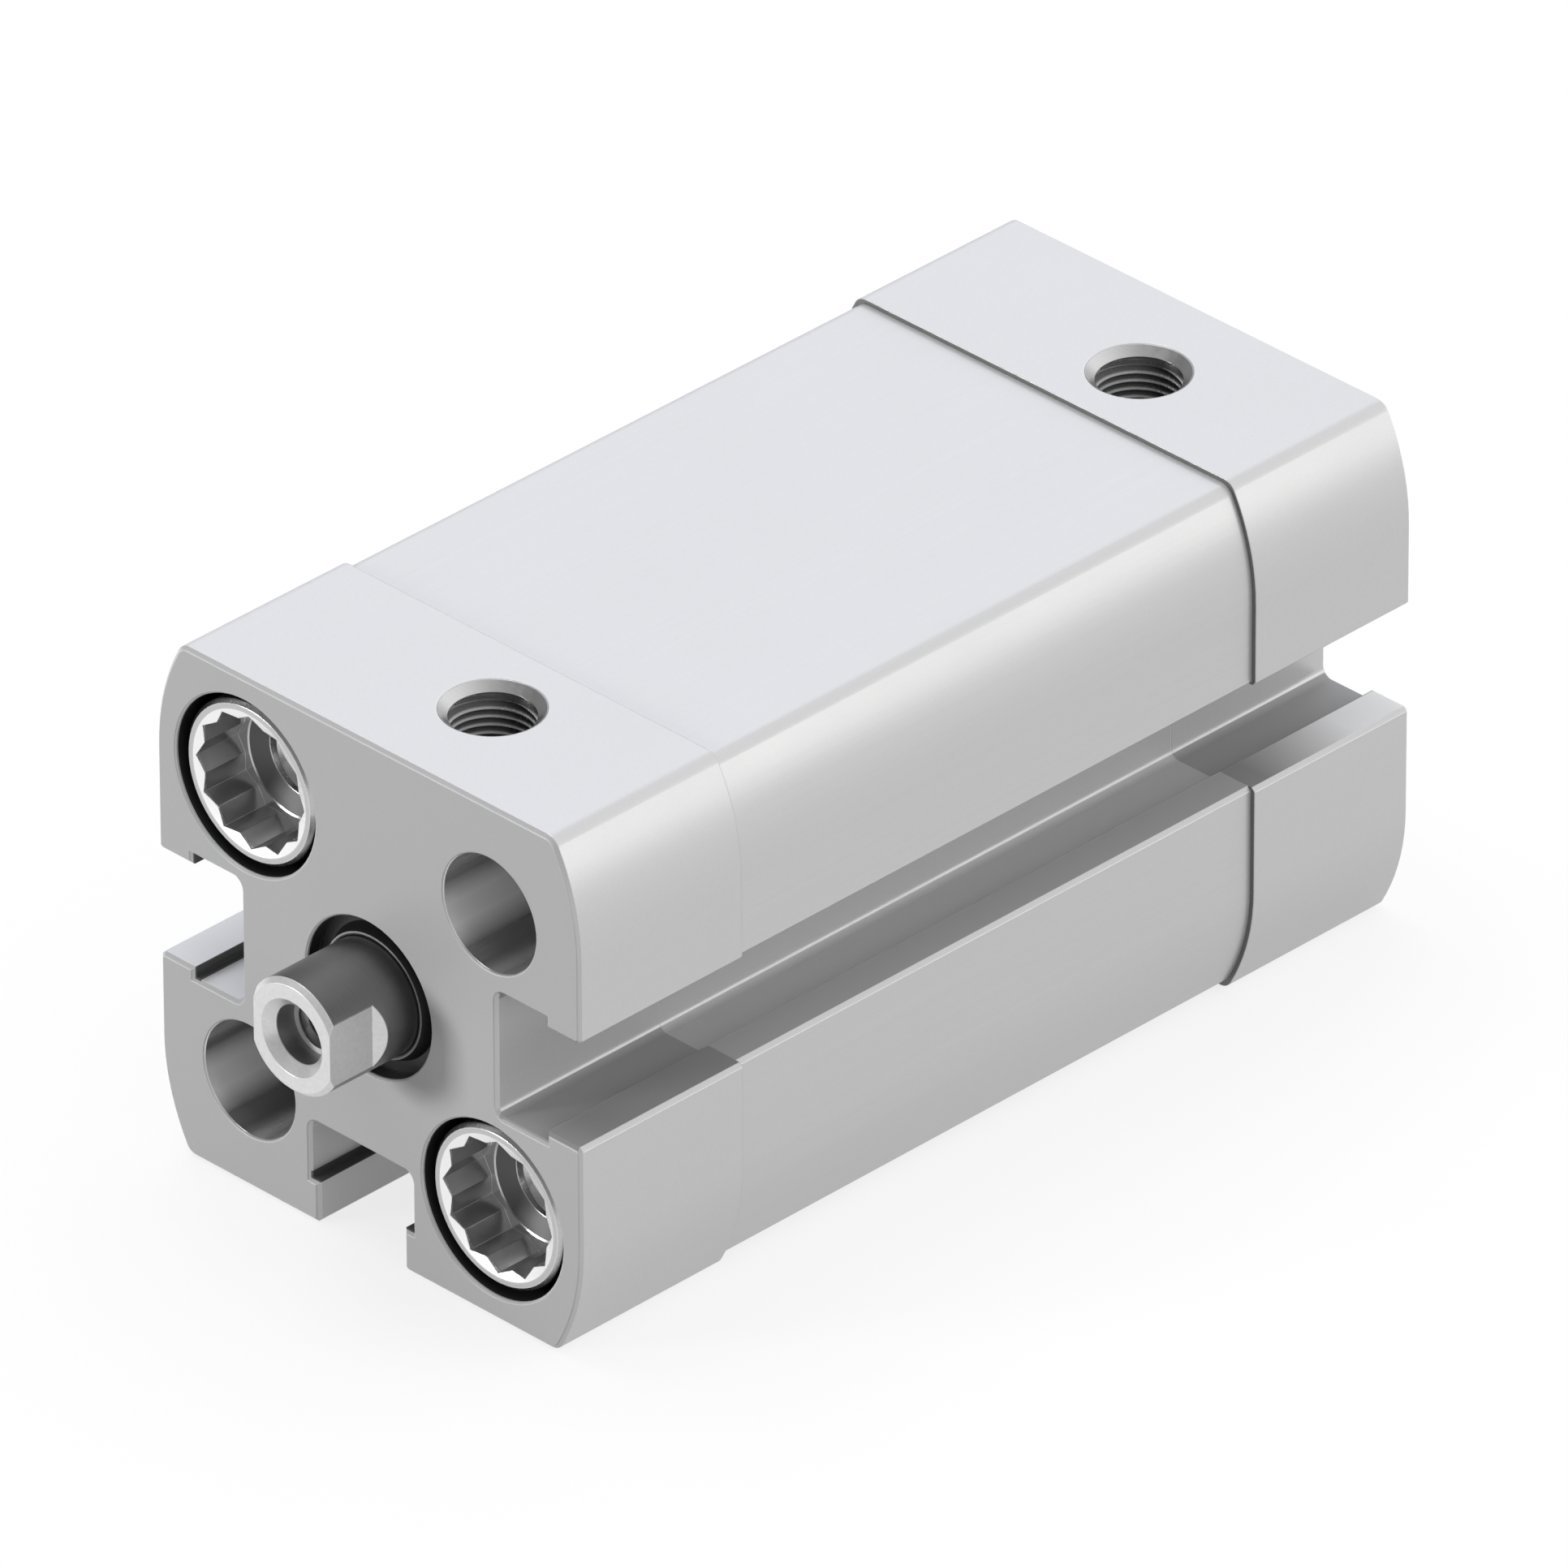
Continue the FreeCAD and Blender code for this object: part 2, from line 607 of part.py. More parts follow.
def build_ring(label, inner, outer, length):
    """Plain ring that starts at Y zero."""
    body = new_body(label)
    turned(body, "section", [(inner, "0"), (outer, "0"), (outer, length), (inner, length)])
    return body


subparts = []

# Barrel
barrel = new_body("cylinder_barrel")
outline(barrel, "dims.barrel_inset", BARREL)
slots(barrel, 1, "dims.barrel_inset", BARREL)
bores = new_sketch(barrel, "bores", "XZ_Plane")
add_circle(bores, "0", "0", "dims.bore")
for corners, across in (
    (SCREW_CORNERS, "dims.screw_thread"),
    (HOLE_CORNERS, "dims.through_hole"),
):
    for x, z in corners:
        add_circle(bores, f"{x} * {PITCH}", f"{z} * {PITCH}", across)
pocket(barrel, bores, BARREL)
place(barrel, "0", "dims.cap_length", "0")
subparts.append(barrel)

# Caps
seat = f"({SPIGOT_END} - dims.cushion_seated)"
seat_r = "(dims.cushion_outer / 2 + dims.seal_gap)"
chamber = [
    ("dims.chamber_diameter / 2", CHAMBER_FLOOR),
    ("dims.chamber_diameter / 2", seat),
    (seat_r, seat),
    (seat_r, SPIGOT_END),
    ("0", SPIGOT_END),
]
rod_bore = [
    ("0", "0"),
    ("dims.wiper_recess / 2", "0"),
    ("dims.wiper_recess / 2", "dims.wiper_setback"),
    ("dims.wiper_outer / 2", "dims.wiper_setback"),
    ("dims.wiper_outer / 2", WIPER_END),
    ("dims.bush_outer / 2", WIPER_END),
    ("dims.bush_outer / 2", CHAMBER_FLOOR),
]
bearing_cap = build_cap("bearing_cap", 1, rod_bore + chamber)
subparts.append(bearing_cap)
end_cap = build_cap("end_cap", -1, [("0", CHAMBER_FLOOR)] + chamber)
place(end_cap, "0", TOTAL, "0", 180)
subparts.append(end_cap)

# Collar screws
subparts.append(screw_pair("front_collar_screws", False))
subparts.append(screw_pair("rear_collar_screws", True))

# Rod guide
bush = build_ring("rod_bearing_bush", f"{ROD_R} + dims.running_gap",
                  "dims.bush_outer / 2 - dims.fit_gap", f"{CHAMBER_FLOOR} - {BUSH_START}")
place(bush, "0", BUSH_START, "0")
subparts.append(bush)

wiper = new_body("rod_wiper_seal")
lip = f"({ROD_R} + dims.seal_gap)"
rim = "(dims.wiper_outer / 2 - dims.seal_gap)"
top = "(dims.wiper_setback + dims.seal_gap)"
back = f"({WIPER_END} - dims.seal_gap)"
turned(wiper, "section", [
    (lip, "dims.wiper_lip_setback"),
    (f"{lip} + dims.wiper_lip", "dims.wiper_lip_setback"),
    (f"{lip} + 3 * dims.wiper_lip", top),
    (rim, top),
    (rim, back),
    (f"{lip} + 2 * dims.wiper_lip", back),
    (lip, f"{back} - 2 * dims.wiper_lip"),
    (f"{lip} + dims.wiper_lip", top),
])
subparts.append(wiper)

# Joint seals and cushions
joint_y = f"(dims.cap_length - {GROOVE_DEPTH} + dims.joint_cord / 2)"
front_joint = cord_ring("front_joint_seal", JOINT_R, "dims.joint_cord", joint_y)
rear_joint = cord_ring("rear_joint_seal", JOINT_R, "dims.joint_cord", joint_y)
place(rear_joint, "0", TOTAL, "0", 180)
subparts += [front_joint, rear_joint]

thickness = "(dims.cushion_seated + dims.cushion_proud)"
for label, along in (
    ("front_cushion_ring", seat),
    ("rear_cushion_ring", f"{TOTAL} - {seat} - {thickness}"),
):
    cushion = build_ring(label, "dims.cushion_inner / 2", "dims.cushion_outer / 2", thickness)
    place(cushion, "0", along, "0")
    subparts.append(cushion)

# Piston discs, magnet and seals
magnet_y = f"{PISTON_FRONT} + dims.disc_length"
front_disc = build_disc("front_piston_disc", False)
place(front_disc, "0", PISTON_FRONT, "0")
rear_disc = build_disc("rear_piston_disc", True)
place(rear_disc, "0", f"{PISTON_FRONT} + {PISTON}", "0", 180)
magnet = build_ring("piston_magnet", "dims.stub_diameter / 2 + dims.fit_gap",
                    "dims.magnet_diameter / 2", "dims.magnet_length")
place(magnet, "0", magnet_y, "0")
subparts += [front_disc, rear_disc, magnet]

guide = build_ring("piston_guide_ring", "dims.magnet_diameter / 2 + dims.seal_gap",
                   f"{BORE_R} - dims.seal_gap", "dims.magnet_length - 2 * dims.seal_gap")
place(guide, "0", f"{magnet_y} + dims.seal_gap", "0")
front_seal = build_lip_seal("front_piston_seal")
place(front_seal, "0", f"{PISTON_FRONT} + dims.seal_flange", "0")
rear_seal = build_lip_seal("rear_piston_seal")
place(rear_seal, "0", f"{PISTON_FRONT} + {PISTON} - dims.seal_flange", "0", 180)
subparts += [guide, front_seal, rear_seal]

static_r = "dims.stub_diameter / 2 + dims.seal_gap + dims.static_cord / 2"
static_y = f"{magnet_y} - dims.static_cord / 2 - dims.seal_gap / 2"
static_seal = cord_ring("piston_static_seal", static_r, "dims.static_cord", static_y)
subparts.append(static_seal)

# Piston rod
rod = new_body("piston_rod")
rod_end = "(-dims.rod_reach)"
stub_end = f"({PISTON_FRONT} + {STUB})"
nut_end = f"({PISTON_FRONT} + {PISTON} - dims.nut_sink)"
thread_start = f"({rod_end} + (dims.rod_mouth - dims.rod_thread) / 2)"
turned(rod, "section", [
    ("dims.rod_mouth / 2", rod_end),
    (f"{ROD_R} - dims.rod_chamfer", rod_end),
    (ROD_R, f"{rod_end} + dims.rod_chamfer"),
    (ROD_R, PISTON_FRONT),
    ("dims.stub_diameter / 2", PISTON_FRONT),
    ("dims.stub_diameter / 2", stub_end),
    ("dims.nut_thread / 2", stub_end),
    ("dims.nut_thread / 2", nut_end),
    ("0", nut_end),
    ("0", f"{rod_end} + dims.rod_thread_depth"),
    ("dims.rod_thread / 2", f"{rod_end} + dims.rod_thread_depth"),
    ("dims.rod_thread / 2", thread_start),
])
flats = new_sketch(rod, "flats", "XY_Plane", f"{ROD_R} + {OVERRUN}")
flats_start = f"{rod_end} - {OVERRUN}"
flats_end = f"{rod_end} + dims.flats_length"
for side in (1, -1):
    face = f"{side} * dims.flats_width / 2"
    outer = f"{side} * ({ROD_R} + {OVERRUN})"
    slope_end = f"{flats_end} + {ROD_R} + {OVERRUN} - dims.flats_width / 2"
    add_polygon(flats, [
        (face, flats_start),
        (outer, flats_start),
        (outer, slope_end),
        (face, flats_end),
    ])
pocket(rod, flats, f"dims.rod_diameter + 2 * {OVERRUN}")
subparts.append(rod)

# Piston nut
nut = new_body("piston_nut")
hexagon = new_sketch(nut, "hexagon", "XZ_Plane")
add_hexagon(hexagon, "dims.nut_flats", 0)
add_circle(hexagon, "0", "0", "dims.nut_thread + 2 * dims.fit_gap")
pad(nut, hexagon, "dims.nut_height")
place(nut, "0", f"{nut_end} - dims.nut_height", "0")
subparts.append(nut)

doc.recompute()

for item in doc.Objects:
    if "Invalid" in item.State or "Error" in item.State:
        raise RuntimeError(f"{item.Label} did not build: {item.State}")
os.makedirs("parts", exist_ok=True)
for item in subparts:
    shape = item.Shape
    if shape.isNull() or not shape.isValid():
        raise RuntimeError(f"{item.Label} has no sound shape")
    shape.exportStep(f"parts/{item.Label}.step")
    box = shape.BoundBox
    print(f"{item.Label}: {len(shape.Solids)} solid, {shape.Volume:.2f} mm3, "
          f"Y {box.YMin:.2f} to {box.YMax:.2f}")
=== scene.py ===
"""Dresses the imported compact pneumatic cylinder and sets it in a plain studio.

The frame is the part's own: X to the right seen from the rod end, Y from the rod end to
the rear, Z up. Blender works in metres; sizes below are in millimetres unless said otherwise.
"""
import json
import logging
import math
from dataclasses import dataclass, field
from enum import Enum
from functools import reduce

import bmesh
import bpy
from mathutils import Matrix, Vector

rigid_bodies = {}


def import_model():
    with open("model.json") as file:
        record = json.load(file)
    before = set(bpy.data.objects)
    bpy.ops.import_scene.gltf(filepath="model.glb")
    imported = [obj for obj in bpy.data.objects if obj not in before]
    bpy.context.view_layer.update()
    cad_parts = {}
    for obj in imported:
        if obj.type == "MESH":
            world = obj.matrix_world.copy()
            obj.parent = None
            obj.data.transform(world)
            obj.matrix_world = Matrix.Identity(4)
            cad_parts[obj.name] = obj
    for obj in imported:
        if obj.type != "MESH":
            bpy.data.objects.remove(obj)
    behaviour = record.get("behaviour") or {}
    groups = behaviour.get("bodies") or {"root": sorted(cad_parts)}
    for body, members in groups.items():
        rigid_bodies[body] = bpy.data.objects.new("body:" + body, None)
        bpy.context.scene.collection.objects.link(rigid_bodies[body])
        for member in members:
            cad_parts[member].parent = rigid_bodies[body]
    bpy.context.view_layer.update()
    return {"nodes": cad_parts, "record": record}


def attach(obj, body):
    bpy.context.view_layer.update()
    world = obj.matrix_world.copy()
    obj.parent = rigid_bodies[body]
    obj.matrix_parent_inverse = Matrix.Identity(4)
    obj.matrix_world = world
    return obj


log = logging.getLogger("compact_cylinder")
Socket = bpy.types.NodeSocket
Span = tuple[float, float]
Place = tuple[float, float, float]

MM = 0.001
UNIT: Span = (0.0, 1.0)
UPWARD: Place = (0.0, 0.0, 1.0)
FORWARD: Place = (0.0, -1.0, 0.0)
# Length of the body, and how far its corner axes lie from the rod axis in X and in Z
BODY_LENGTH = 54.9
CORNER = 8.0
# Middle of the body in metres
MIDDLE: Place = (0.0, 0.027, 0.0)
# Sockets of a Mix node that take two numbers, and two colours
MIX_NUMBERS = (2, 3)
MIX_COLOURS = (6, 7)
# Vertices closer than this become one, and edges sharper than this stay sharp
WELD = 1e-5
SHARP = math.radians(35.0)

for spare in list(bpy.data.objects):
    bpy.data.objects.remove(spare)
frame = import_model()


class Body(Enum):
    """Bodies of the cylinder that pieces ride on."""

    HOUSING = "housing"
    ROD = "rod_set"


class Effect(Enum):
    """Shader node groups that several finishes share."""

    GRAIN = "surface_grain"
    LINES = "drawn_lines"
    RINGS = "turned_rings"
    # Edges lighter from wear and from a painted highlight
    EDGES = "worn_edges"
    BORE = "bore_mask"
    SLOTS = "slot_walls"


@dataclass(frozen=True)
class Tint:
    """Linear colour of a surface."""

    red: float
    green: float
    blue: float

    def rgba(self, gain: float = 1.0) -> tuple[float, float, float, float]:
        """Colour times a gain, with full alpha."""
        return (self.red * gain, self.green * gain, self.blue * gain, 1.0)


def grey(level: float) -> Tint:
    """Plain grey of a level."""
    return Tint(level, level, level)


def blank_material(name: str) -> bpy.types.Material:
    """Makes a material with no nodes.

    Args:
        name: Name of the material.

    Returns:
        The material.
    """
    material = bpy.data.materials.new(name)
    material.use_nodes = True
    material.node_tree.nodes.clear()
    return material


def new_object(name: str, data: bpy.types.ID) -> bpy.types.Object:
    """Makes an object and links it to the scene.

    Args:
        name: Name of the object.
        data: Mesh, lamp or camera of the object.

    Returns:
        The object.
    """
    thing = bpy.data.objects.new(name, data)
    bpy.context.scene.collection.objects.link(thing)
    return thing


def mesh_object(name: str, mesh: bmesh.types.BMesh) -> bpy.types.Object:
    """Makes an object of a finished mesh.

    Args:
        name: Name of the object and its mesh.
        mesh: Finished mesh; it is freed.

    Returns:
        The object at the origin.
    """
    data = bpy.data.meshes.new(name)
    mesh.to_mesh(data)
    mesh.free()
    return new_object(name, data)


class NodeSheet:
    """Adds nodes to one node tree and links them."""

    def __init__(self, tree: bpy.types.NodeTree) -> None:
        """Keeps the tree to work on."""
        self.tree = tree

    def add(self, kind: str, entries: dict | None = None, **options: object) -> bpy.types.Node:
        """Adds a node.

        Args:
            kind: Node type.
            entries: Input names or numbers with a socket to link or a value to set.
            options: Properties of the node.

        Returns:
            The new node.
        """
        node = self.tree.nodes.new(kind)
        for key, option in options.items():
            setattr(node, key, option)
        for key, entry in (entries or {}).items():
            self.feed(node.inputs[key], entry)
        return node

    def feed(self, socket: Socket, entry: object) -> None:
        """Links a socket to another one, or sets its value.

        Args:
            socket: Input to fill.
            entry: Output socket or plain value.
        """
        if isinstance(entry, Socket):
            self.tree.links.new(entry, socket)
        else:
            socket.default_value = entry

    def calc(self, operation: str, *operands: object) -> Socket:
        """Output of a new math node with one to three operands."""
        return self.add("ShaderNodeMath", dict(enumerate(operands)), operation=operation).outputs[0]

    def vector(self, operation: str, *operands: object) -> Socket:
        """Output of a new vector math node, which is a number for a length or a dot product."""
        node = self.add("ShaderNodeVectorMath", dict(enumerate(operands)), operation=operation)
        return node.outputs["Value" if operation in ("LENGTH", "DOT_PRODUCT") else "Vector"]

    def split(self, vector: Socket) -> tuple[Socket, ...]:
        """X, Y and Z of a vector."""
        return tuple(self.add("ShaderNodeSeparateXYZ", {"Vector": vector}).outputs)

    def radius(self, across: Socket, upward: Socket) -> Socket:
        """Distance from an axis, from two offsets square to each other."""
        flat = self.add("ShaderNodeCombineXYZ", {"X": across, "Y": 0.0, "Z": upward})
        return self.vector("LENGTH", flat.outputs[0])

    def every(self, *masks: Socket) -> Socket:
        """Marks where all of the masks are set."""
        return reduce(lambda first, second: self.calc("MULTIPLY", first, second), masks)

    def either(self, *masks: Socket) -> Socket:
        """Marks where at least one of the masks is set."""
        return reduce(lambda first, second: self.calc("MAXIMUM", first, second), masks)

    def below(self, source: Socket, limit: object) -> Socket:
        """Marks where a value is less than a limit."""
        return self.calc("LESS_THAN", source, limit)

    def above(self, source: Socket, limit: object) -> Socket:
        """Marks where a value is more than a limit."""
        return self.calc("GREATER_THAN", source, limit)

    def between(self, source: Socket, start: object, end: object) -> Socket:
        """Marks where a value lies between two limits."""
        return self.every(self.above(source, start), self.below(source, end))

    def switch(self, mask: Socket, plain: object, marked: object) -> Socket:
        """Number that goes from a plain one to a marked one where a mask is set."""
        entries = {"Factor": mask} | dict(zip(MIX_NUMBERS, (plain, marked)))
        return self.add("ShaderNodeMix", entries, data_type="FLOAT").outputs[0]

    def spread(self, source: Socket, span: Span = UNIT, result: Span = UNIT) -> Socket:
        """Maps a value from one range to another, clamped.

        Args:
            source: Socket to map.
            span: Start and end of the source range.
            result: Results at the start and end of that range.

        Returns:
            The mapped output socket.
        """
        entries = {"Value": source, "From Min": span[0], "From Max": span[1]}
        entries |= {"To Min": result[0], "To Max": result[1]}
        return self.add("ShaderNodeMapRange", entries).outputs["Result"]

    def blend(self, factor: Socket, first: object, second: object) -> Socket:
        """Mix of two colours, where the factor is the share of the second."""
        entries = {"Factor": factor} | dict(zip(MIX_COLOURS, (first, second)))
        return self.add("ShaderNodeMix", entries, data_type="RGBA", clamp_factor=True).outputs[2]


@dataclass
class EffectShelf:
    """Builds each shared node group once and places it in materials."""

    groups: dict[Effect, bpy.types.NodeTree] = field(default_factory=dict)
    noise_detail: float = 3.0
    line_detail: float = 4.0
    line_roughness: float = 0.65
    grain_span: Span = (0.25, 0.75)
    line_span: Span = (0.3, 0.7)
    edge_span: Span = (0.9, 0.998)
    edge_samples: int = 6

    def place(self, sheet: NodeSheet, effect: Effect, entries: dict) -> bpy.types.Node:
        """Places an effect in a material.

        Args:
            sheet: Node sheet of the material.
            effect: Effect to place.
            entries: Values or sockets for the inputs of the group.

        Returns:
            The group node.
        """
        if effect not in self.groups:
            self.groups[effect] = getattr(self, f"_{effect.value}")()
        return sheet.add("ShaderNodeGroup", entries, node_tree=self.groups[effect])

    @staticmethod
    def _open(
        effect: Effect, inputs: dict[str, str], outputs: dict[str, str]
    ) -> tuple[NodeSheet, dict[str, Socket], dict[str, Socket]]:
        """Starts a node group with named sockets.

        Args:
            effect: Effect the group is for.
            inputs: Input names with their socket kind.
            outputs: Output names with their socket kind.

        Returns:
            Sheet of the group, the sockets that it is given and those that it fills.
        """
        tree = bpy.data.node_groups.new(effect.value, "ShaderNodeTree")
        for side, sockets in (("INPUT", inputs), ("OUTPUT", outputs)):
            for name, kind in sockets.items():
                tree.interface.new_socket(name, in_out=side, socket_type=f"NodeSocket{kind}")
        sheet = NodeSheet(tree)
        given = dict(sheet.add("NodeGroupInput").outputs.items())
        return sheet, given, dict(sheet.add("NodeGroupOutput").inputs.items())

    def _surface_grain(self) -> bpy.types.NodeTree:
        """Even fine grain, as left by blasting, moulding or sintering.

        Returns:
            Group with a value between 0 and 1.
        """
        inputs = {"Vector": "Vector", "Scale": "Float"}
        sheet, given, result = self._open(Effect.GRAIN, inputs, {"Value": "Float"})
        entries = {"Vector": given["Vector"], "Scale": given["Scale"], "Detail": self.noise_detail}
        noise = sheet.add("ShaderNodeTexNoise", entries)
        sheet.feed(result["Value"], sheet.spread(noise.outputs["Fac"], self.grain_span))
        return sheet.tree

    def _drawn_lines(self) -> bpy.types.NodeTree:
        """Long fine lines along Y, as a die leaves them on an extrusion.

        Returns:
            Group with a value between 0 and 1.
        """
        inputs = {"Vector": "Vector", "Across": "Float", "Along": "Float"}
        sheet, given, result = self._open(Effect.LINES, inputs, {"Value": "Float"})
        across = given["Across"]
        scale = sheet.add("ShaderNodeCombineXYZ", {"X": across, "Y": given["Along"], "Z": across})
        stretched = sheet.vector("MULTIPLY", given["Vector"], scale.outputs[0])
        entries = {"Vector": stretched, "Scale": 1.0}
        entries |= {"Detail": self.line_detail, "Roughness": self.line_roughness}
        noise = sheet.add("ShaderNodeTexNoise", entries)
        sheet.feed(result["Value"], sheet.spread(noise.outputs["Fac"], self.line_span))
        return sheet.tree

    def _turned_rings(self) -> bpy.types.NodeTree:
        """Fine rings about the Y axis, as a lathe tool leaves them.

        Returns:
            Group with a value between 0 and 1.
        """
        inputs = {"Vector": "Vector", "Scale": "Float"}
        sheet, given, result = self._open(Effect.RINGS, inputs, {"Value": "Float"})
        across, along, upward = sheet.split(given["Vector"])
        travel = sheet.calc("ADD", sheet.radius(across, upward), along)
        spot = sheet.calc("MULTIPLY", travel, given["Scale"])
        entries = {"W": spot, "Scale": 1.0, "Detail": self.noise_detail}
        noise = sheet.add("ShaderNodeTexNoise", entries, noise_dimensions="1D")
        sheet.feed(result["Value"], sheet.spread(noise.outputs["Fac"], self.line_span))
        return sheet.tree

    def _worn_edges(self) -> bpy.types.NodeTree:
        """Softly rounded edges, with a mask where the surface bends; finishes lighten the edges there, partly
        as edge wear and partly as a painted highlight.

        Returns:
            Group with the rounded normal and the mask of the edges.
        """
        outputs = {"Mask": "Float", "Normal": "Vector"}
        sheet, given, result = self._open(Effect.EDGES, {"Radius": "Float"}, outputs)
        bevel = sheet.add("ShaderNodeBevel", {"Radius": given["Radius"]}, samples=self.edge_samples)
        rounded = bevel.outputs["Normal"]
        plain = sheet.add("ShaderNodeNewGeometry").outputs["Normal"]
        match = sheet.vector("DOT_PRODUCT", rounded, plain)
        sheet.feed(result["Mask"], sheet.spread(match, self.edge_span, (1.0, 0.0)))
        sheet.feed(result["Normal"], rounded)
        return sheet.tree

    def _bore_mask(self) -> bpy.types.NodeTree:
        """Marks what lies within a radius of the four corner axes along Y.

        Returns:
            Group with 1 within the radius and 0 outside.
        """
        inputs = {"Vector": "Vector", "Pitch": "Float", "Radius": "Float"}
        sheet, given, result = self._open(Effect.BORE, inputs, {"Mask": "Float"})
        side, _, upward = sheet.split(sheet.vector("ABSOLUTE", given["Vector"]))
        offsets = (sheet.calc("SUBTRACT", place, given["Pitch"]) for place in (side, upward))
        inside = sheet.below(sheet.radius(*offsets), given["Radius"])
        sheet.feed(result["Mask"], inside)
        return sheet.tree

    def _slot_walls(self) -> bpy.types.NodeTree:
        """Marks the walls and the opening of the right slot, and the lips' inner faces in the other two,
        where the finishes paint shade and light.

        Returns:
            Group with masks of the walls, of the opening alone and of the lips.
        """
        names = ("Floor", "Rim", "Lip", "Face", "Offset", "Half")
        inputs = {"Vector": "Vector"} | dict.fromkeys(names, "Float")
        outputs = {"Walls": "Float", "Opening": "Float", "Lips": "Float"}
        sheet, given, result = self._open(Effect.SLOTS, inputs, outputs)
        floor, rim, lip, face, offset, half = (given[name] for name in names)
        side, _, upward = sheet.split(given["Vector"])
        behind = sheet.calc("SUBTRACT", lip, face)
        slots = (
            (side, sheet.calc("SUBTRACT", upward, offset), floor, rim),
            (sheet.calc("MULTIPLY", side, -1.0), sheet.calc("ADD", upward, offset), behind, lip),
            (sheet.calc("MULTIPLY", upward, -1.0), sheet.calc("ADD", side, offset), behind, lip),
        )
        masks = []
        for depth, across, start, end in slots:
            near = sheet.below(sheet.calc("ABSOLUTE", across), half)
            masks.append(sheet.every(sheet.between(depth, start, end), near))
        walls, *lips = masks
        sheet.feed(result["Walls"], walls)
        sheet.feed(result["Opening"], sheet.every(walls, sheet.above(side, lip)))
        sheet.feed(result["Lips"], sheet.either(*lips))
        return sheet.tree


@dataclass
class Coat:
    """One material in the making, with the place on its surface in millimetres."""

    sheet: NodeSheet
    shader: bpy.types.Node
    spot: Socket
    shelf: EffectShelf

    def show(self, name: str, entry: Socket) -> None:
        """Feeds an input of the shader."""
        self.sheet.feed(self.shader.inputs[name], entry)

    def place(self, effect: Effect, **entries: object) -> list[Socket]:
        """Outputs of a shared effect placed in this material."""
        return list(self.shelf.place(self.sheet, effect, entries).outputs)

    def grain(self, scale: float) -> Socket:
        """Grain that is finer the larger its scale."""
        return self.place(Effect.GRAIN, Vector=self.spot, Scale=scale)[0]

    def lines(self, across: float, along: float) -> Socket:
        """Drawn lines with one scale across them and one along."""
        return self.place(Effect.LINES, Vector=self.spot, Across=across, Along=along)[0]

    def rings(self, vector: Socket, scale: float) -> Socket:
        """Tool rings about the Y axis of a vector."""
        return self.place(Effect.RINGS, Vector=vector, Scale=scale)[0]

    def edges(self, radius: float) -> list[Socket]:
        """Mask of the edges and their rounded normal."""
        return self.place(Effect.EDGES, Radius=radius * MM)

    def bores(self, radius: float) -> Socket:
        """Marks what lies within a radius of the corner axes."""
        return self.place(Effect.BORE, Vector=self.spot, Pitch=CORNER, Radius=radius)[0]

    def polar(self) -> tuple[Socket, Socket]:
        """Distance from the rod axis, and the place along it."""
        across, along, upward = self.sheet.split(self.spot)
        return self.sheet.radius(across, upward), along

    def from_middle(self) -> Socket:
        """Distance along Y from the middle of the body."""
        along = self.sheet.split(self.spot)[1]
        return self.sheet.calc("ABSOLUTE", self.sheet.calc("SUBTRACT", along, BODY_LENGTH / 2))

    def inside(self, margin: float) -> Socket:
        """Marks what lies deeper than a margin behind both end faces."""
        return self.sheet.below(self.from_middle(), BODY_LENGTH / 2 - margin)

    def emboss(self, height: Socket, normal: Socket | None = None) -> None:
        """Raises the surface by a height in millimetres.

        Args:
            height: Height socket.
            normal: Normal socket to start from, if not the plain one.
        """
        bump = self.sheet.add("ShaderNodeBump", {"Height": height, "Distance": MM, "Strength": 1.0})
        if normal is not None:
            self.sheet.feed(bump.inputs["Normal"], normal)
        self.show("Normal", bump.outputs["Normal"])


@dataclass(frozen=True)
class Finish:
    """Surface finish: makes one material, whose tone and gloss vary with a pattern."""

    name: str
    colour: Tint
    roughness: float
    metallic: float = 0.0
    tone: float = 0.0
    gloss: Span = (-0.03, 0.03)

    def make(self, shelf: EffectShelf) -> bpy.types.Material:
        """Makes the material.

        Args:
            shelf: Shared effects.

        Returns:
            The finished material.
        """
        material = blank_material(self.name)
        sheet = NodeSheet(material.node_tree)
        entries = {"Base Color": self.colour.rgba(), "Roughness": self.roughness, "Metallic": self.metallic}
        shader = sheet.add("ShaderNodeBsdfPrincipled", entries)
        sheet.add("ShaderNodeOutputMaterial", {"Surface": shader.outputs["BSDF"]})
        entries = {0: sheet.add("ShaderNodeTexCoord").outputs["Object"], "Scale": 1.0 / MM}
        scaled = sheet.add("ShaderNodeVectorMath", entries, operation="SCALE")
        self.dress(Coat(sheet, shader, scaled.outputs[0], shelf))
        return material

    def dress(self, coat: Coat) -> None:
        """Adds the finish to a material; each kind of finish has its own."""
        raise NotImplementedError

    def toned(self, coat: Coat, pattern: Socket) -> Socket:
        """Colour that is darker or lighter by a pattern."""
        return coat.sheet.blend(pattern, self.colour.rgba(1.0 - self.tone), self.colour.rgba(1.0 + self.tone))

    def glossed(self, coat: Coat, pattern: Socket) -> Socket:
        """Roughness that is lower or higher by a pattern."""
        low, high = self.gloss
        return coat.sheet.spread(pattern, result=(self.roughness + low, self.roughness + high))


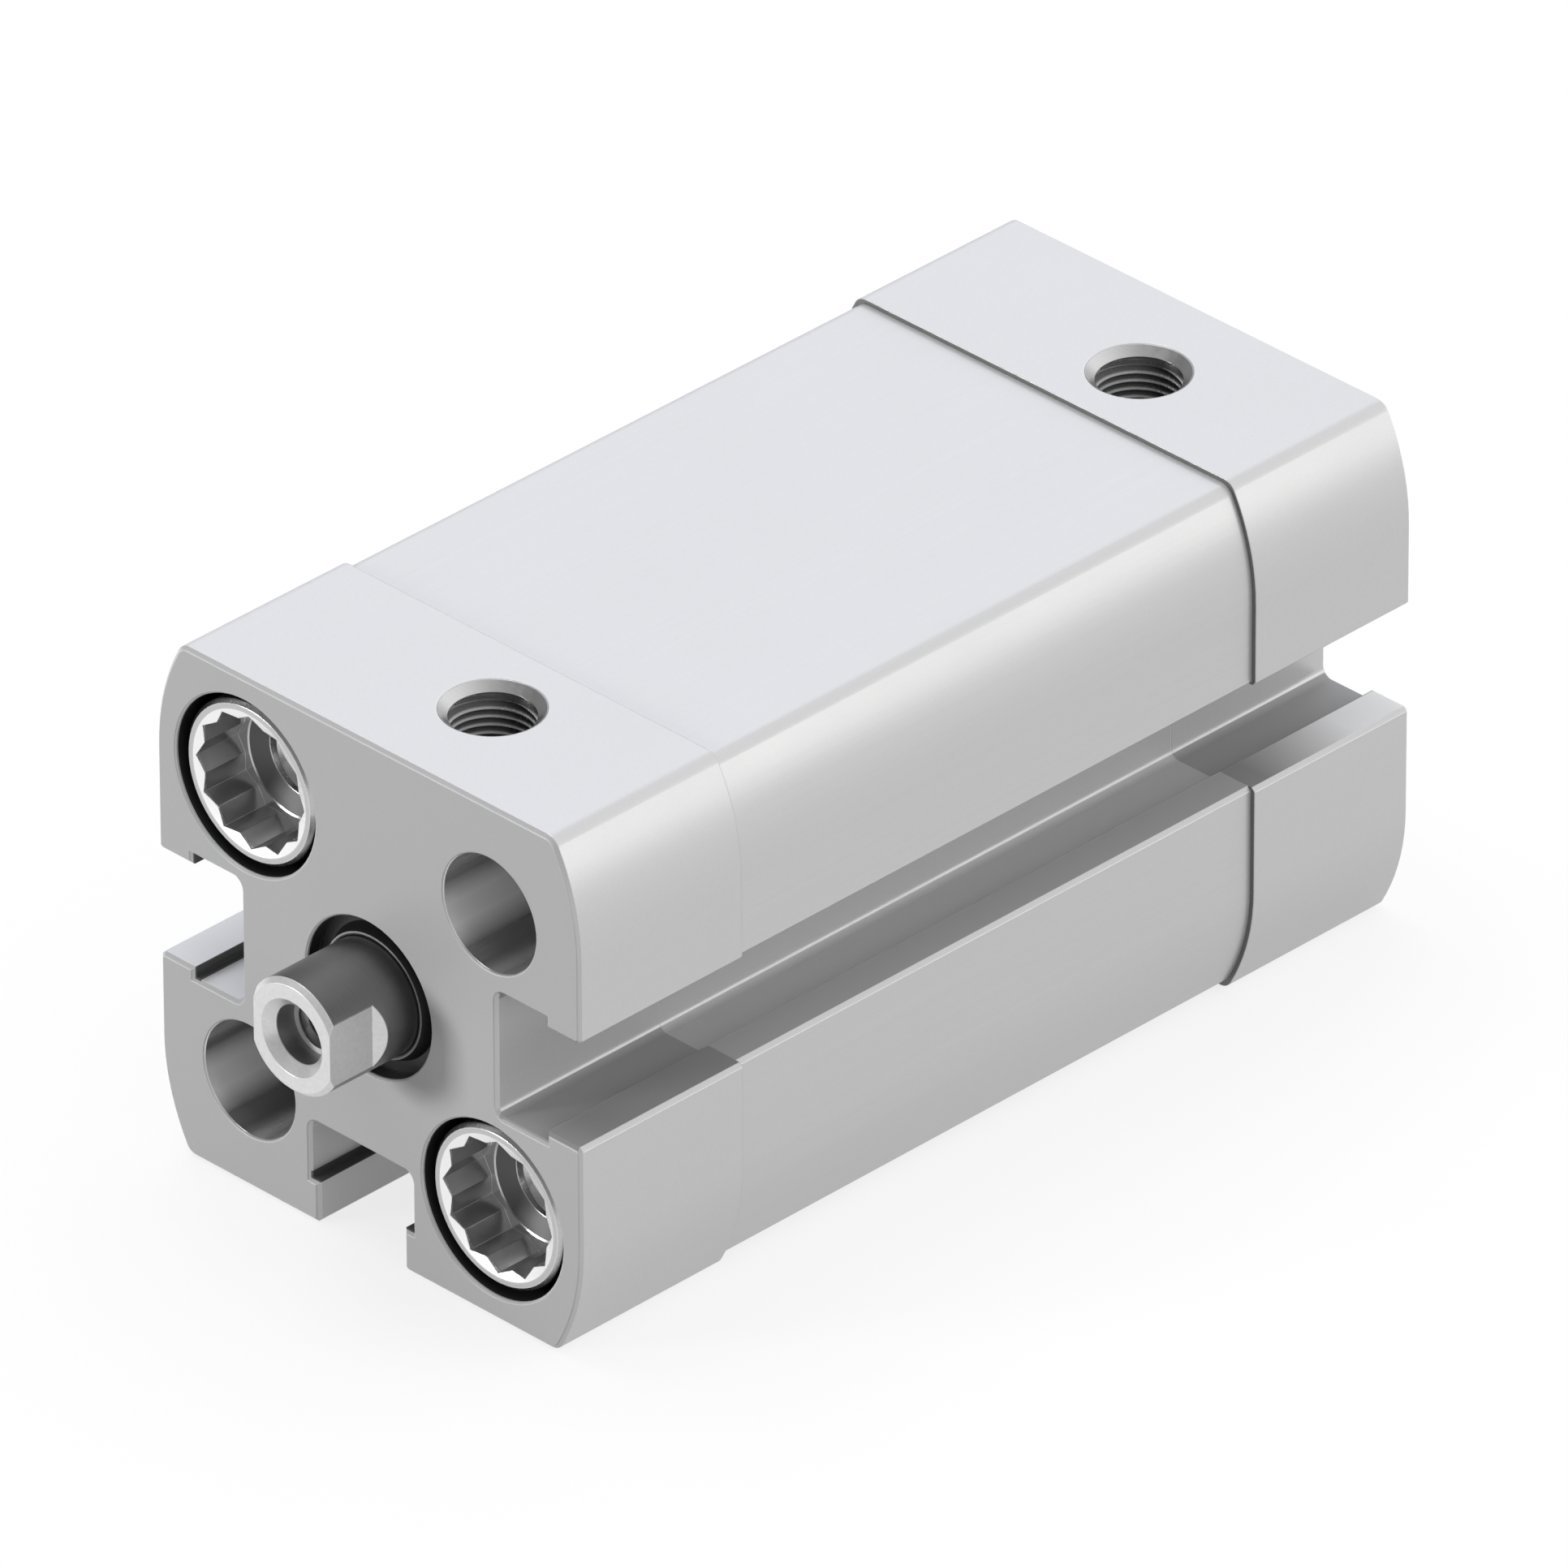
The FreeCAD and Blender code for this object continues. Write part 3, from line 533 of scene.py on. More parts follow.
@dataclass(frozen=True)
class AnodisedFinish(Finish):
    """Satin anodised aluminium with fine grain, drawn lines, edges lighter from wear and a painted highlight,
    polished holes with a painted highlight strip, and rough slots with painted shade and painted light.
    """

    tone: float = 0.025
    cloud_scale: float = 0.12
    grain_scale: float = 9.0
    grain_height: float = 0.0012
    line_across: float = 4.0
    line_along: float = 0.03
    line_height: float = 0.0012
    line_share: float = 0.5
    edge_radius: float = 0.065
    # Lighter colour at the edges: partly edge wear, partly a painted highlight
    worn_highlit_edge_colour: Tint = grey(0.93)
    end_margin: float = 0.05
    end_metallic: float = 0.0
    hole_radius: float = 3.04
    hole_colour: Tint = grey(0.66)
    hole_roughness: float = 0.22
    hole_metallic: Span = (0.6, 0.97)
    streak_across: float = 0.38
    streak_along: float = 0.02
    # Painted highlight: a bright, non-metallic strip on one side of each corner hole
    highlight_way: Place = (0.906, 0.0, 0.423)
    highlight_reach: Span = (2.5, 2.95)
    highlight_colour: Tint = grey(0.97)
    highlight_metallic: float = 0.0
    # Slot walls and lips get painted shade; the right slot's opening gets painted light towards its open rear
    # end
    slot_floor: float = 8.5
    slot_rim: float = 13.38
    slot_lip: float = 11.65
    slot_face: float = 0.4
    slot_offset: float = 0.65
    slot_half: float = 3.42
    slot_shade_colour: Tint = grey(0.57)
    slot_roughness: float = 0.65
    slot_metallic: float = 0.05
    slot_rear: Span = (45.5, 51.5)
    slot_rear_light_colour: Tint = grey(0.88)
    opening_shade_gain: float = 0.78
    lip_painted_light_colour: Tint = grey(0.12)

    def dress(self, coat: Coat) -> None:
        """Adds tone, lines, edges lighter from wear and a painted highlight, polished holes with a painted
        highlight strip, and rough slot walls with painted shade and painted light.

        Args:
            coat: Material in the making.
        """
        sheet = coat.sheet
        grain = coat.grain(self.grain_scale)
        lines = coat.lines(self.line_across, self.line_along)
        worn_highlit, rounded = coat.edges(self.edge_radius)
        hole = coat.bores(self.hole_radius)
        painted_highlight = self.hole_highlight_strip(coat)
        walls, opening, lips = self.slot_masks(coat)

        drawn = sheet.calc("MULTIPLY", lines, self.line_share)
        mixed = sheet.calc("ADD", drawn, sheet.calc("MULTIPLY", grain, 1.0 - self.line_share))
        colour = self.darken(coat, self.toned(coat, mixed))
        # Hole walls with the painted highlight strip
        wall = sheet.blend(painted_highlight, self.hole_colour.rgba(), self.highlight_colour.rgba())
        colour = sheet.blend(hole, colour, wall)
        # Edges lightened: partly wear, partly a painted highlight
        colour = sheet.blend(worn_highlit, colour, self.worn_highlit_edge_colour.rgba())
        # Painted shade on the right slot's walls and opening, lightened by painted light towards the open
        # rear end
        colour = sheet.blend(walls, colour, self.slot_shade_colour.rgba())
        rear = sheet.spread(coat.polar()[1], self.slot_rear)
        mouth = sheet.blend(rear, self.slot_shade_colour.rgba(self.opening_shade_gain), self.slot_rear_light_colour.rgba())
        colour = sheet.blend(opening, colour, mouth)
        # Painted shade on the inner faces of the other slots' lips
        coat.show("Base Color", sheet.blend(lips, colour, self.lip_painted_light_colour.rgba()))

        rough = self.glossed(coat, coat.grain(self.cloud_scale))
        rough = sheet.switch(walls, rough, self.slot_roughness)
        coat.show("Roughness", sheet.switch(hole, rough, self.hole_roughness))

        metallic = sheet.switch(coat.inside(self.end_margin), self.end_metallic, self.metallic)
        metallic = sheet.switch(walls, metallic, self.slot_metallic)
        streaks = coat.lines(self.streak_across, self.streak_along)
        polish = sheet.spread(streaks, result=self.hole_metallic)
        polish = sheet.switch(painted_highlight, polish, self.highlight_metallic)
        coat.show("Metallic", sheet.switch(hole, metallic, polish))

        height = sheet.calc("MULTIPLY", grain, self.grain_height)
        height = sheet.calc("ADD", height, sheet.calc("MULTIPLY", lines, self.line_height))
        coat.emboss(height, rounded)

    def hole_highlight_strip(self, coat: Coat) -> Socket:
        """Marks the strip of wall that faces one way in each corner hole, where a bright, non-metallic
        highlight is painted.

        Args:
            coat: Material in the making.

        Returns:
            Mask that is strongest in the middle of the strip.
        """
        sheet = coat.sheet
        centre = sheet.vector("MULTIPLY", sheet.vector("SIGN", coat.spot), (CORNER, CORNER, CORNER))
        inward = sheet.vector("SUBTRACT", centre, coat.spot)
        return sheet.spread(sheet.vector("DOT_PRODUCT", inward, self.highlight_way), self.highlight_reach)

    def slot_masks(self, coat: Coat) -> list[Socket]:
        """Marks the slot walls and lips between the end faces, where shade and light are painted.

        Args:
            coat: Material in the making.

        Returns:
            Masks of the right slot's walls, of its opening and of the other slots' lips.
        """
        marks = coat.place(
            Effect.SLOTS, Vector=coat.spot, Floor=self.slot_floor, Rim=self.slot_rim, Lip=self.slot_lip,
            Face=self.slot_face, Offset=self.slot_offset, Half=self.slot_half,
        )
        within = coat.inside(self.end_margin)
        return [coat.sheet.every(mark, within) for mark in marks]

    def darken(self, coat: Coat, colour: Socket) -> Socket:
        """Leaves the colour as it is; the caps have painted shade in their seats and joints."""
        return colour


@dataclass(frozen=True)
class CapFinish(AnodisedFinish):
    """Anodised end cap with painted shade in the screw seats, the wiper seat and the joints to the barrel."""

    # Darker painted shade in the caps' slots
    slot_shade_colour: Tint = grey(0.38)
    shadow: Tint = grey(0.03)
    screw_seat: float = 4.68
    wiper_seat: float = 4.2
    seat_depth: float = 0.2
    joints: Span = (10.5, 44.4)
    joint_width: float = 0.06
    # Painted shade on the joint faces between cap and barrel
    joint_shade_colour: Tint = grey(0.2)

    def darken(self, coat: Coat, colour: Socket) -> Socket:
        """Paints shade on the joint faces, in the wiper seat and in the screw seats, which lie on one
        diagonal.

        Args:
            coat: Material in the making.
            colour: Colour so far.

        Returns:
            Colour with the painted shade in the seats and joints.
        """
        sheet = coat.sheet
        reach, along = coat.polar()
        side, _, upward = sheet.split(coat.spot)
        diagonal = sheet.below(sheet.calc("MULTIPLY", side, upward), 0.0)
        screws = sheet.every(coat.bores(self.screw_seat), diagonal)
        seats = sheet.either(screws, sheet.below(reach, self.wiper_seat))
        seats = sheet.every(seats, coat.inside(self.seat_depth))
        colour = sheet.blend(seats, colour, self.shadow.rgba())
        # Painted shade in the joints between cap and barrel
        for place in self.joints:
            joint = sheet.calc("COMPARE", along, place, self.joint_width / 2)
            colour = sheet.blend(joint, colour, self.joint_shade_colour.rgba())
        return colour


@dataclass(frozen=True)
class TurnedFinish(Finish):
    """Turned or plated steel and aluminium with fine tool rings."""

    tone: float = 0.06
    gloss: Span = (-0.03, 0.04)
    grain_scale: float = 3.0
    ring_scale: float = 16.0
    ring_height: float = 0.0006
    centre: float = 0.0
    edge_radius: float = 0.05
    # Gain of the lighter edge colour: partly wear, partly a painted highlight
    worn_highlit_edge_gain: float = 1.15

    def dress(self, coat: Coat) -> None:
        """Adds tool rings about the axis of each piece, and edges lighter from wear and from a painted
        highlight.

        Args:
            coat: Material in the making.
        """
        sheet = coat.sheet
        folded = sheet.vector("ABSOLUTE", coat.spot)
        local = sheet.vector("SUBTRACT", folded, (self.centre, 0.0, self.centre))
        rings = coat.rings(local, self.ring_scale)
        worn_highlit, rounded = coat.edges(self.edge_radius)
        rough = self.glossed(coat, coat.grain(self.grain_scale))
        colour, rough = self.shade(coat, self.toned(coat, rings), rough)
        coat.show("Base Color", sheet.blend(worn_highlit, colour, self.colour.rgba(self.worn_highlit_edge_gain)))
        coat.show("Roughness", rough)
        coat.emboss(sheet.calc("MULTIPLY", rings, self.ring_height), rounded)

    def shade(self, coat: Coat, colour: Socket, rough: Socket) -> tuple[Socket, Socket]:
        """Leaves colour and roughness as they are; some turned finishes differ in places."""
        return colour, rough


@dataclass(frozen=True)
class CollarFinish(TurnedFinish):
    """Plated collar screw with a bright conical mouth, a glossier socket and a dull drilled cone at its
    bottom with painted shade.
    """

    head_face: float = 0.3
    mouth_radius: float = 3.72
    mouth_colour: Tint = grey(0.88)
    socket_start: float = 0.23
    socket_end: float = 3.28
    socket_colour: Tint = grey(0.54)
    socket_roughness: float = 0.22
    socket_metallic: float = 0.85
    cone_start: float = 2.8
    # Painted shade on the drilled cone at the bottom of the socket
    cone_shade_colour: Tint = grey(0.16)
    cone_roughness: float = 0.55

    def shade(self, coat: Coat, colour: Socket, rough: Socket) -> tuple[Socket, Socket]:
        """Brightens the mouths, sets the sockets' colour and gloss, and paints shade on the drilled cones, at
        both ends.

        Args:
            coat: Material in the making.
            colour: Colour so far.
            rough: Roughness so far.

        Returns:
            Colour and roughness with the mouths and sockets.
        """
        sheet = coat.sheet
        within = coat.bores(self.mouth_radius)
        depth = sheet.calc("SUBTRACT", BODY_LENGTH / 2 - self.head_face, coat.from_middle())
        mouth = sheet.every(within, sheet.below(depth, self.socket_start))
        socket = sheet.every(within, sheet.between(depth, self.socket_start, self.socket_end))
        cone = sheet.every(socket, sheet.above(depth, self.cone_start))
        colour = sheet.blend(mouth, colour, self.mouth_colour.rgba())
        colour = sheet.blend(socket, colour, self.socket_colour.rgba())
        # Painted shade at the bottom of the socket
        colour = sheet.blend(cone, colour, self.cone_shade_colour.rgba())
        coat.show("Metallic", sheet.switch(socket, self.metallic, self.socket_metallic))
        rough = sheet.switch(socket, rough, self.socket_roughness)
        return colour, sheet.switch(cone, rough, self.cone_roughness)


@dataclass(frozen=True)
class PortFinish(Finish):
    """Cut thread of the air ports, bright at its crests, with painted shade in its roots and one side painted
    lighter.
    """

    gloss: Span = (-0.05, 0.05)
    grain_scale: float = 6.0
    across: float = 2.05
    along: float = 21.25
    crest: float = 2.09
    root: float = 2.22
    # Painted shade in the thread roots
    root_shade_gain: float = 0.25
    # Side of the thread that is made less metallic, which paints it lighter
    bright_side: Span = (-1.7, -0.6)

    def dress(self, coat: Coat) -> None:
        """Paints shade into the roots by their distance from the axis of their port, and paints one side
        lighter by making it less metallic.

        Args:
            coat: Material in the making.
        """
        sheet = coat.sheet
        side = sheet.calc("SUBTRACT", sheet.split(coat.spot)[0], self.across)
        behind = sheet.calc("SUBTRACT", coat.from_middle(), self.along)
        deep = sheet.spread(sheet.radius(side, behind), (self.crest, self.root))
        colour = sheet.blend(deep, self.colour.rgba(), self.colour.rgba(self.root_shade_gain))
        coat.show("Base Color", colour)
        coat.show("Roughness", self.glossed(coat, coat.grain(self.grain_scale)))
        coat.show("Metallic", sheet.spread(side, self.bright_side, (0.0, self.metallic)))


@dataclass(frozen=True)
class RodFinish(Finish):
    """Dark ground rod with bright machined flats, end face, mouth and thread start."""

    tone: float = 0.1
    ring_scale: float = 22.0
    ring_height: float = 0.0004
    grain_scale: float = 5.0
    edge_radius: float = 0.05
    # Lighter edges: partly wear, partly a painted highlight
    wear_and_highlight: float = 0.8
    wear_and_highlight_gain: float = 1.2
    bright: Tint = grey(0.82)
    bright_gain: Span = (0.94, 1.04)
    bright_roughness: float = 0.34
    bright_metallic: float = 0.5
    end: float = -4.9
    chamfer: float = 0.25
    radius: float = 3.0
    flat: float = 2.5
    flat_end: float = -2.15
    mouth: float = 2.0
    mouth_end: float = -4.4
    thread_edge: float = -3.2
    bore: float = 1.5
    bore_gain: float = 0.45
    margin: float = 0.02

    def dress(self, coat: Coat) -> None:
        """Adds grinding rings and bares the machined faces.

        Args:
            coat: Material in the making.
        """
        sheet = coat.sheet
        rings = coat.rings(coat.spot, self.ring_scale)
        grain = coat.grain(self.grain_scale)
        edges, rounded = coat.edges(self.edge_radius)
        bare = self.machined(coat)
        wall = sheet.below(coat.polar()[0], self.bore + self.margin)
        ground = sheet.blend(wall, self.toned(coat, rings), self.bright.rgba(self.bore_gain))
        dark, light = self.bright_gain
        cut = sheet.blend(grain, self.bright.rgba(dark), self.bright.rgba(light))
        colour = sheet.blend(bare, ground, cut)
        # Edges lightened: partly wear, partly a painted highlight
        worn_highlit = sheet.calc("MULTIPLY", edges, self.wear_and_highlight)
        coat.show("Base Color", sheet.blend(worn_highlit, colour, self.bright.rgba(self.wear_and_highlight_gain)))
        rough = sheet.switch(bare, self.glossed(coat, grain), self.bright_roughness)
        coat.show("Roughness", rough)
        coat.show("Metallic", sheet.switch(bare, self.metallic, self.bright_metallic))
        coat.emboss(sheet.calc("MULTIPLY", rings, self.ring_height), rounded)

    def machined(self, coat: Coat) -> Socket:
        """Marks the faces cut after grinding.

        Args:
            coat: Material in the making.

        Returns:
            Mask of the end face, the flats, their run-outs, the mouth and the thread start.
        """
        sheet = coat.sheet
        reach, along = coat.polar()
        side = sheet.calc("ABSOLUTE", sheet.split(coat.spot)[0])
        end_face = sheet.every(
            sheet.below(along, self.end + self.chamfer + self.margin / 2),
            sheet.above(reach, self.bore + self.margin),
        )
        cone = sheet.every(
            sheet.below(along, self.mouth_end - self.margin),
            sheet.below(reach, self.mouth + self.margin),
        )
        face = sheet.every(
            sheet.calc("COMPARE", side, self.flat, self.margin),
            sheet.below(along, self.flat_end + self.margin),
        )
        slope = sheet.calc("SUBTRACT", side, along)
        run_out = sheet.every(
            sheet.calc("COMPARE", slope, self.flat - self.flat_end, self.margin),
            sheet.above(along, self.flat_end),
        )
        flats = sheet.every(sheet.either(face, run_out), sheet.below(reach, self.radius - self.margin))
        start = sheet.every(sheet.below(reach, self.bore - self.margin), sheet.below(along, self.thread_edge))
        return sheet.either(end_face, cone, flats, start)


@dataclass(frozen=True)
class MouldedFinish(Finish):
    """Rubber, plastic or sintered material with an even grain."""

    tone: float = 0.15
    gloss: Span = (-0.06, 0.06)
    cloud_scale: float = 0.6
    grain_scale: float = 8.0
    grain_height: float = 0.004
    # Painted highlight on the edge of a sealing lip about the rod
    lip_radius: float = 0.0
    lip_width: float = 0.09
    lip_face: float = 0.34
    lip_painted_light_colour: Tint = grey(0.4)

    def dress(self, coat: Coat) -> None:
        """Adds grain to colour and height, clouds to gloss, and a painted highlight on a sealing lip where
        there is one.

        Args:
            coat: Material in the making.
        """
        grain = coat.grain(self.grain_scale)
        colour = self.toned(coat, grain)
        if self.lip_radius > 0.0:
            colour = coat.sheet.blend(self.lip(coat), colour, self.lip_painted_light_colour.rgba())
        coat.show("Base Color", colour)
        coat.show("Roughness", self.glossed(coat, coat.grain(self.cloud_scale)))
        coat.emboss(coat.sheet.calc("MULTIPLY", grain, self.grain_height))

    def lip(self, coat: Coat) -> Socket:
        """Marks the edge of a sealing lip about the rod, where a highlight is painted.

        Args:
            coat: Material in the making.

        Returns:
            Mask of the lip's edge.
        """
        reach, along = coat.polar()
        near = coat.sheet.calc("COMPARE", reach, self.lip_radius, self.lip_width / 2)
        return coat.sheet.every(near, coat.sheet.below(along, self.lip_face))


ALUMINIUM = Tint(0.62, 0.62, 0.624)

FINISHES: dict[str, Finish] = {
    "barrel_aluminium": AnodisedFinish("barrel_aluminium_satin", ALUMINIUM, 0.33, 0.3),
    "cap_aluminium": CapFinish(
        "cap_aluminium_satin", ALUMINIUM, 0.34, 0.3, line_share=0.15, line_height=0.0003, slot_rim=13.62
    ),
    # The screws' edges are lightened more: partly wear, partly a painted highlight
    "plated_steel": CollarFinish("plated_steel_bright", grey(0.52), 0.28, 1.0, centre=CORNER, worn_highlit_edge_gain=1.8),
    "bearing_bronze": MouldedFinish(
        "bearing_bronze_sintered", Tint(0.55, 0.38, 0.19), 0.4, 1.0, grain_scale=14.0
    ),
    # The wiper's lip edge gets a painted highlight
    "black_rubber": MouldedFinish("black_rubber_matte", Tint(0.012, 0.012, 0.0125), 0.5, lip_radius=3.16),
    "cushion_rubber": MouldedFinish("cushion_rubber_matte", Tint(0.05, 0.05, 0.055), 0.62),
    "piston_aluminium": TurnedFinish("piston_aluminium_turned", Tint(0.68, 0.69, 0.7), 0.28, 1.0),
    "bonded_magnet": MouldedFinish("bonded_magnet_grey", Tint(0.1, 0.1, 0.105), 0.5, grain_scale=16.0),
    "guide_plastic": MouldedFinish("guide_plastic_natural", Tint(0.74, 0.71, 0.62), 0.42, tone=0.04),
    "seal_polyurethane": MouldedFinish("seal_polyurethane_blue", Tint(0.06, 0.12, 0.2), 0.35, tone=0.08),
    "rod_steel": RodFinish("rod_steel_ground", Tint(0.25, 0.25, 0.252), 0.42, 1.0),
    "nut_steel": TurnedFinish("nut_steel_plated", grey(0.6), 0.25, 1.0),
}
CUT_THREAD = PortFinish("cap_thread_cut", grey(0.9), 0.25, 0.7)
CUT_MOUTH = TurnedFinish("cap_mouth_cut", grey(0.56), 0.3, 1.0, ring_height=0.0002, edge_radius=0.03)
CUT_LEDGE = TurnedFinish("rod_ledge_cut", grey(0.95), 0.3, 0.0, edge_radius=0.03, worn_highlit_edge_gain=1.0)


@dataclass
class Workshop:
    """Keeps the finishes that have been made and reports each piece."""

    shelf: EffectShelf = field(default_factory=EffectShelf)
    made: dict[str, bpy.types.Material] = field(default_factory=dict)

    def material(self, finish: Finish) -> bpy.types.Material:
        """Material of a finish, made at its first use.

        Args:
            finish: Finish wanted.

        Returns:
            Its material.
        """
        if finish.name not in self.made:
            self.made[finish.name] = finish.make(self.shelf)
        return self.made[finish.name]

    def paint(self, thing: bpy.types.Object, finish: Finish) -> None:
        """Gives every material slot of an object one finish.

        Args:
            thing: Piece or CAD node.
            finish: Finish to give it.
        """
        material = self.material(finish)
        if not thing.material_slots:
            thing.data.materials.append(material)
        for slot in thing.material_slots:
            slot.link = "OBJECT"
            slot.material = material

    def dress_node(self, node: str) -> None:
        """Dresses a CAD node in the finish of its record slot.

        Args:
            node: Name of the node.
        """
        subparts = frame["record"]["subparts"]
        slot = next(item["material_slot"] for item in subparts if item["node"] == node)
        self.paint(frame["nodes"][node], FINISHES[slot])
        log.info("%s dressed as %s", node, slot)

    def add_piece(self, thing: bpy.types.Object, body: Body, finish: Finish) -> None:
        """Hands over a new piece: finish and body.

        Args:
            thing: The new piece.
            body: Body it rides on.
            finish: Finish to give it.
        """
        self.paint(thing, finish)
        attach(thing, body.value)
        log.info("%s added with %d faces", thing.name, len(thing.data.polygons))


@dataclass
class BoreTrim:
    """Trim inside a round bore, built about Z with the bore's mouth at zero and upwards outward."""

    name: str
    mouth: Place
    outward: Place

    def draw(self, mesh: bmesh.types.BMesh, corners: tuple[Span, ...]) -> dict:
        """Draws a flat section beside the axis from the radius and height of its corners."""
        points = [mesh.verts.new((radius, 0.0, height)) for radius, height in corners]
        return bmesh.ops.contextual_create(mesh, geom=points)

    def spin(self, mesh: bmesh.types.BMesh, turns: float, steps: int, rise: float = 0.0) -> None:
        """Spins a section about the axis, and closes it where it doesn't rise.

        Args:
            mesh: Mesh with the section alone.
            turns: Turns to make, below zero to the other hand.
            steps: Steps in all.
            rise: Rise of each step.
        """
        bmesh.ops.spin(
            mesh, geom=mesh.verts[:] + mesh.edges[:] + mesh.faces[:], cent=(0.0, 0.0, 0.0), axis=UPWARD,
            dvec=(0.0, 0.0, rise), angle=math.tau * turns, steps=steps, use_merge=rise == 0.0,
            use_duplicate=False,
        )

    def place(self, mesh: bmesh.types.BMesh) -> bpy.types.Object:
        """Closes the mesh, moves it to its bore and makes it an object.

        Args:
            mesh: Finished mesh about Z; it is freed.

        Returns:
            Object at the origin with its place in its mesh.
        """
        bmesh.ops.remove_doubles(mesh, verts=mesh.verts[:], dist=WELD)
        bmesh.ops.recalc_face_normals(mesh, faces=mesh.faces[:])
        turn = Vector(self.outward).to_track_quat("Z", "Y").to_matrix().to_4x4()
        bmesh.ops.transform(mesh, matrix=Matrix.Translation(self.mouth) @ turn, verts=mesh.verts[:])
        bmesh.ops.scale(mesh, vec=(MM, MM, MM), verts=mesh.verts[:])
        thing = mesh_object(self.name, mesh)
        thing.data.shade_smooth()
        thing.data.set_sharp_from_angle(angle=SHARP)
        return thing


@dataclass
class LatheRing(BoreTrim):
    """Closed ring turned from a section of radius and depth pairs."""

    corners: tuple[Span, ...]
    steps: int = 96

    def build(self) -> bpy.types.Object:
        """Turns the ring.

        Returns:
            The ring in its bore.
        """
        mesh = bmesh.new()
        section = self.draw(mesh, tuple((radius, -depth) for radius, depth in self.corners))
        bmesh.ops.delete(mesh, geom=section["faces"], context="FACES_ONLY")
        self.spin(mesh, 1.0, self.steps)
        return self.place(mesh)


@dataclass
class ThreadRib(BoreTrim):
    """Helical rib of an internal thread, built from its mouth inwards."""

    radius: float
    pitch: float
    height: float
    length: float
    root_share: float = 0.46
    crest_share: float = 0.07
    sunk: float = 0.03
    run_out: float = 0.35
    least_height: float = 0.03
    steps_per_turn: int = 48

    def build(self) -> bpy.types.Object:
        """Winds the rib.

        Returns:
            The rib in its bore.
        """
        turns = self.length / self.pitch - 1.0
        steps = round(turns * self.steps_per_turn)
        mesh = bmesh.new()
        self.draw(mesh, self.section())
        self.spin(mesh, -turns, steps, -turns * self.pitch / steps)
        self.taper(mesh, turns)
        return self.place(mesh)

    def section(self) -> tuple[Span, ...]:
        """Works out the rib's section, half a pitch below the mouth.

        Returns:
            Radius and height of its corners.
        """
        root = self.pitch * self.root_share
        crest = self.pitch * self.crest_share
        wall = self.radius + self.sunk
        tip = self.radius - self.height
        middle = -self.pitch / 2
        return ((wall, middle + root), (tip, middle + crest), (tip, middle - crest), (wall, middle - root))

    def taper(self, mesh: bmesh.types.BMesh, turns: float) -> None:
        """Lets the crest run out into the wall at both ends.

        Args:
            mesh: Mesh of the rib.
            turns: Turns of the rib.
        """
        for vertex in mesh.verts:
            reach = vertex.co.xy.length
            if reach > self.radius:
                continue
            turn = -vertex.co.z / self.pitch - 0.5
            share = max(0.0, min(1.0, turn / self.run_out, (turns - turn) / self.run_out))
            vertex.co.xy *= (self.radius - self.height * max(share, self.least_height)) / reach


@dataclass
class Assembly:
    """CAD nodes that belong together, and the pieces added to them."""

    nodes: tuple[str, ...] = ()

    def build(self, shop: Workshop) -> None:
        """Adds nothing; some assemblies have trim of their own."""

    def dress(self, shop: Workshop) -> None:
        """Dresses the nodes in the finishes of their record slots."""
        for node in self.nodes:
            shop.dress_node(node)


@dataclass
class Housing(Assembly):
    """Barrel and end caps with their threaded air ports."""

    nodes: tuple[str, ...] = ("cylinder_barrel", "bearing_cap", "end_cap")
    top: float = 13.85
    port_across: float = 2.05
    port_along: Span = (6.2, 48.7)
    port_radius: float = 2.5
    thread_start: float = 0.62
    thread_length: float = 5.2
    thread_pitch: float = 0.44
    thread_height: float = 0.42
    thread_steps: int = 72
    mouth_corners: tuple[Span, ...] = ((2.53, 0.02), (2.08, 0.45), (2.53, 0.8))

    def build(self, shop: Workshop) -> None:
        """Adds the countersunk mouth and the thread of each port.

        Args:
            shop: Workshop that dresses the pieces.
        """
        for end, along in zip(("front", "rear"), self.port_along):
            mouth = (self.port_across, along, self.top)
            ring = LatheRing(f"{end}_port_mouth", mouth, UPWARD, self.mouth_corners)
            shop.add_piece(ring.build(), Body.HOUSING, CUT_MOUTH)
            start = (self.port_across, along, self.top - self.thread_start)
            rib = ThreadRib(
                f"{end}_port_thread", start, UPWARD, self.port_radius, self.thread_pitch, self.thread_height,
                self.thread_length, steps_per_turn=self.thread_steps,
            )
            shop.add_piece(rib.build(), Body.HOUSING, CUT_THREAD)


@dataclass
class CollarScrews(Assembly):
    """The four collar screws with the threads inside them."""

    nodes: tuple[str, ...] = ("front_collar_screws", "rear_collar_screws")
    thread_start: float = 3.6
    thread_end: float = 12.05
    radius: float = 2.0
    pitch: float = 0.7
    height: float = 0.34

    def build(self, shop: Workshop) -> None:
        """Adds the thread inside each screw.

        Args:
            shop: Workshop that dresses the pieces.
        """
        sides = (("left", -CORNER, CORNER), ("right", CORNER, -CORNER))
        ends = (("front", self.thread_start, -1.0), ("rear", BODY_LENGTH - self.thread_start, 1.0))
        for end, along, outward in ends:
            for side, across, upward in sides:
                rib = ThreadRib(
                    f"{end}_{side}_screw_thread", (across, along, upward), (0.0, outward, 0.0), self.radius,
                    self.pitch, self.height, self.thread_end - self.thread_start,
                )
                shop.add_piece(rib.build(), Body.HOUSING, FINISHES["plated_steel"])


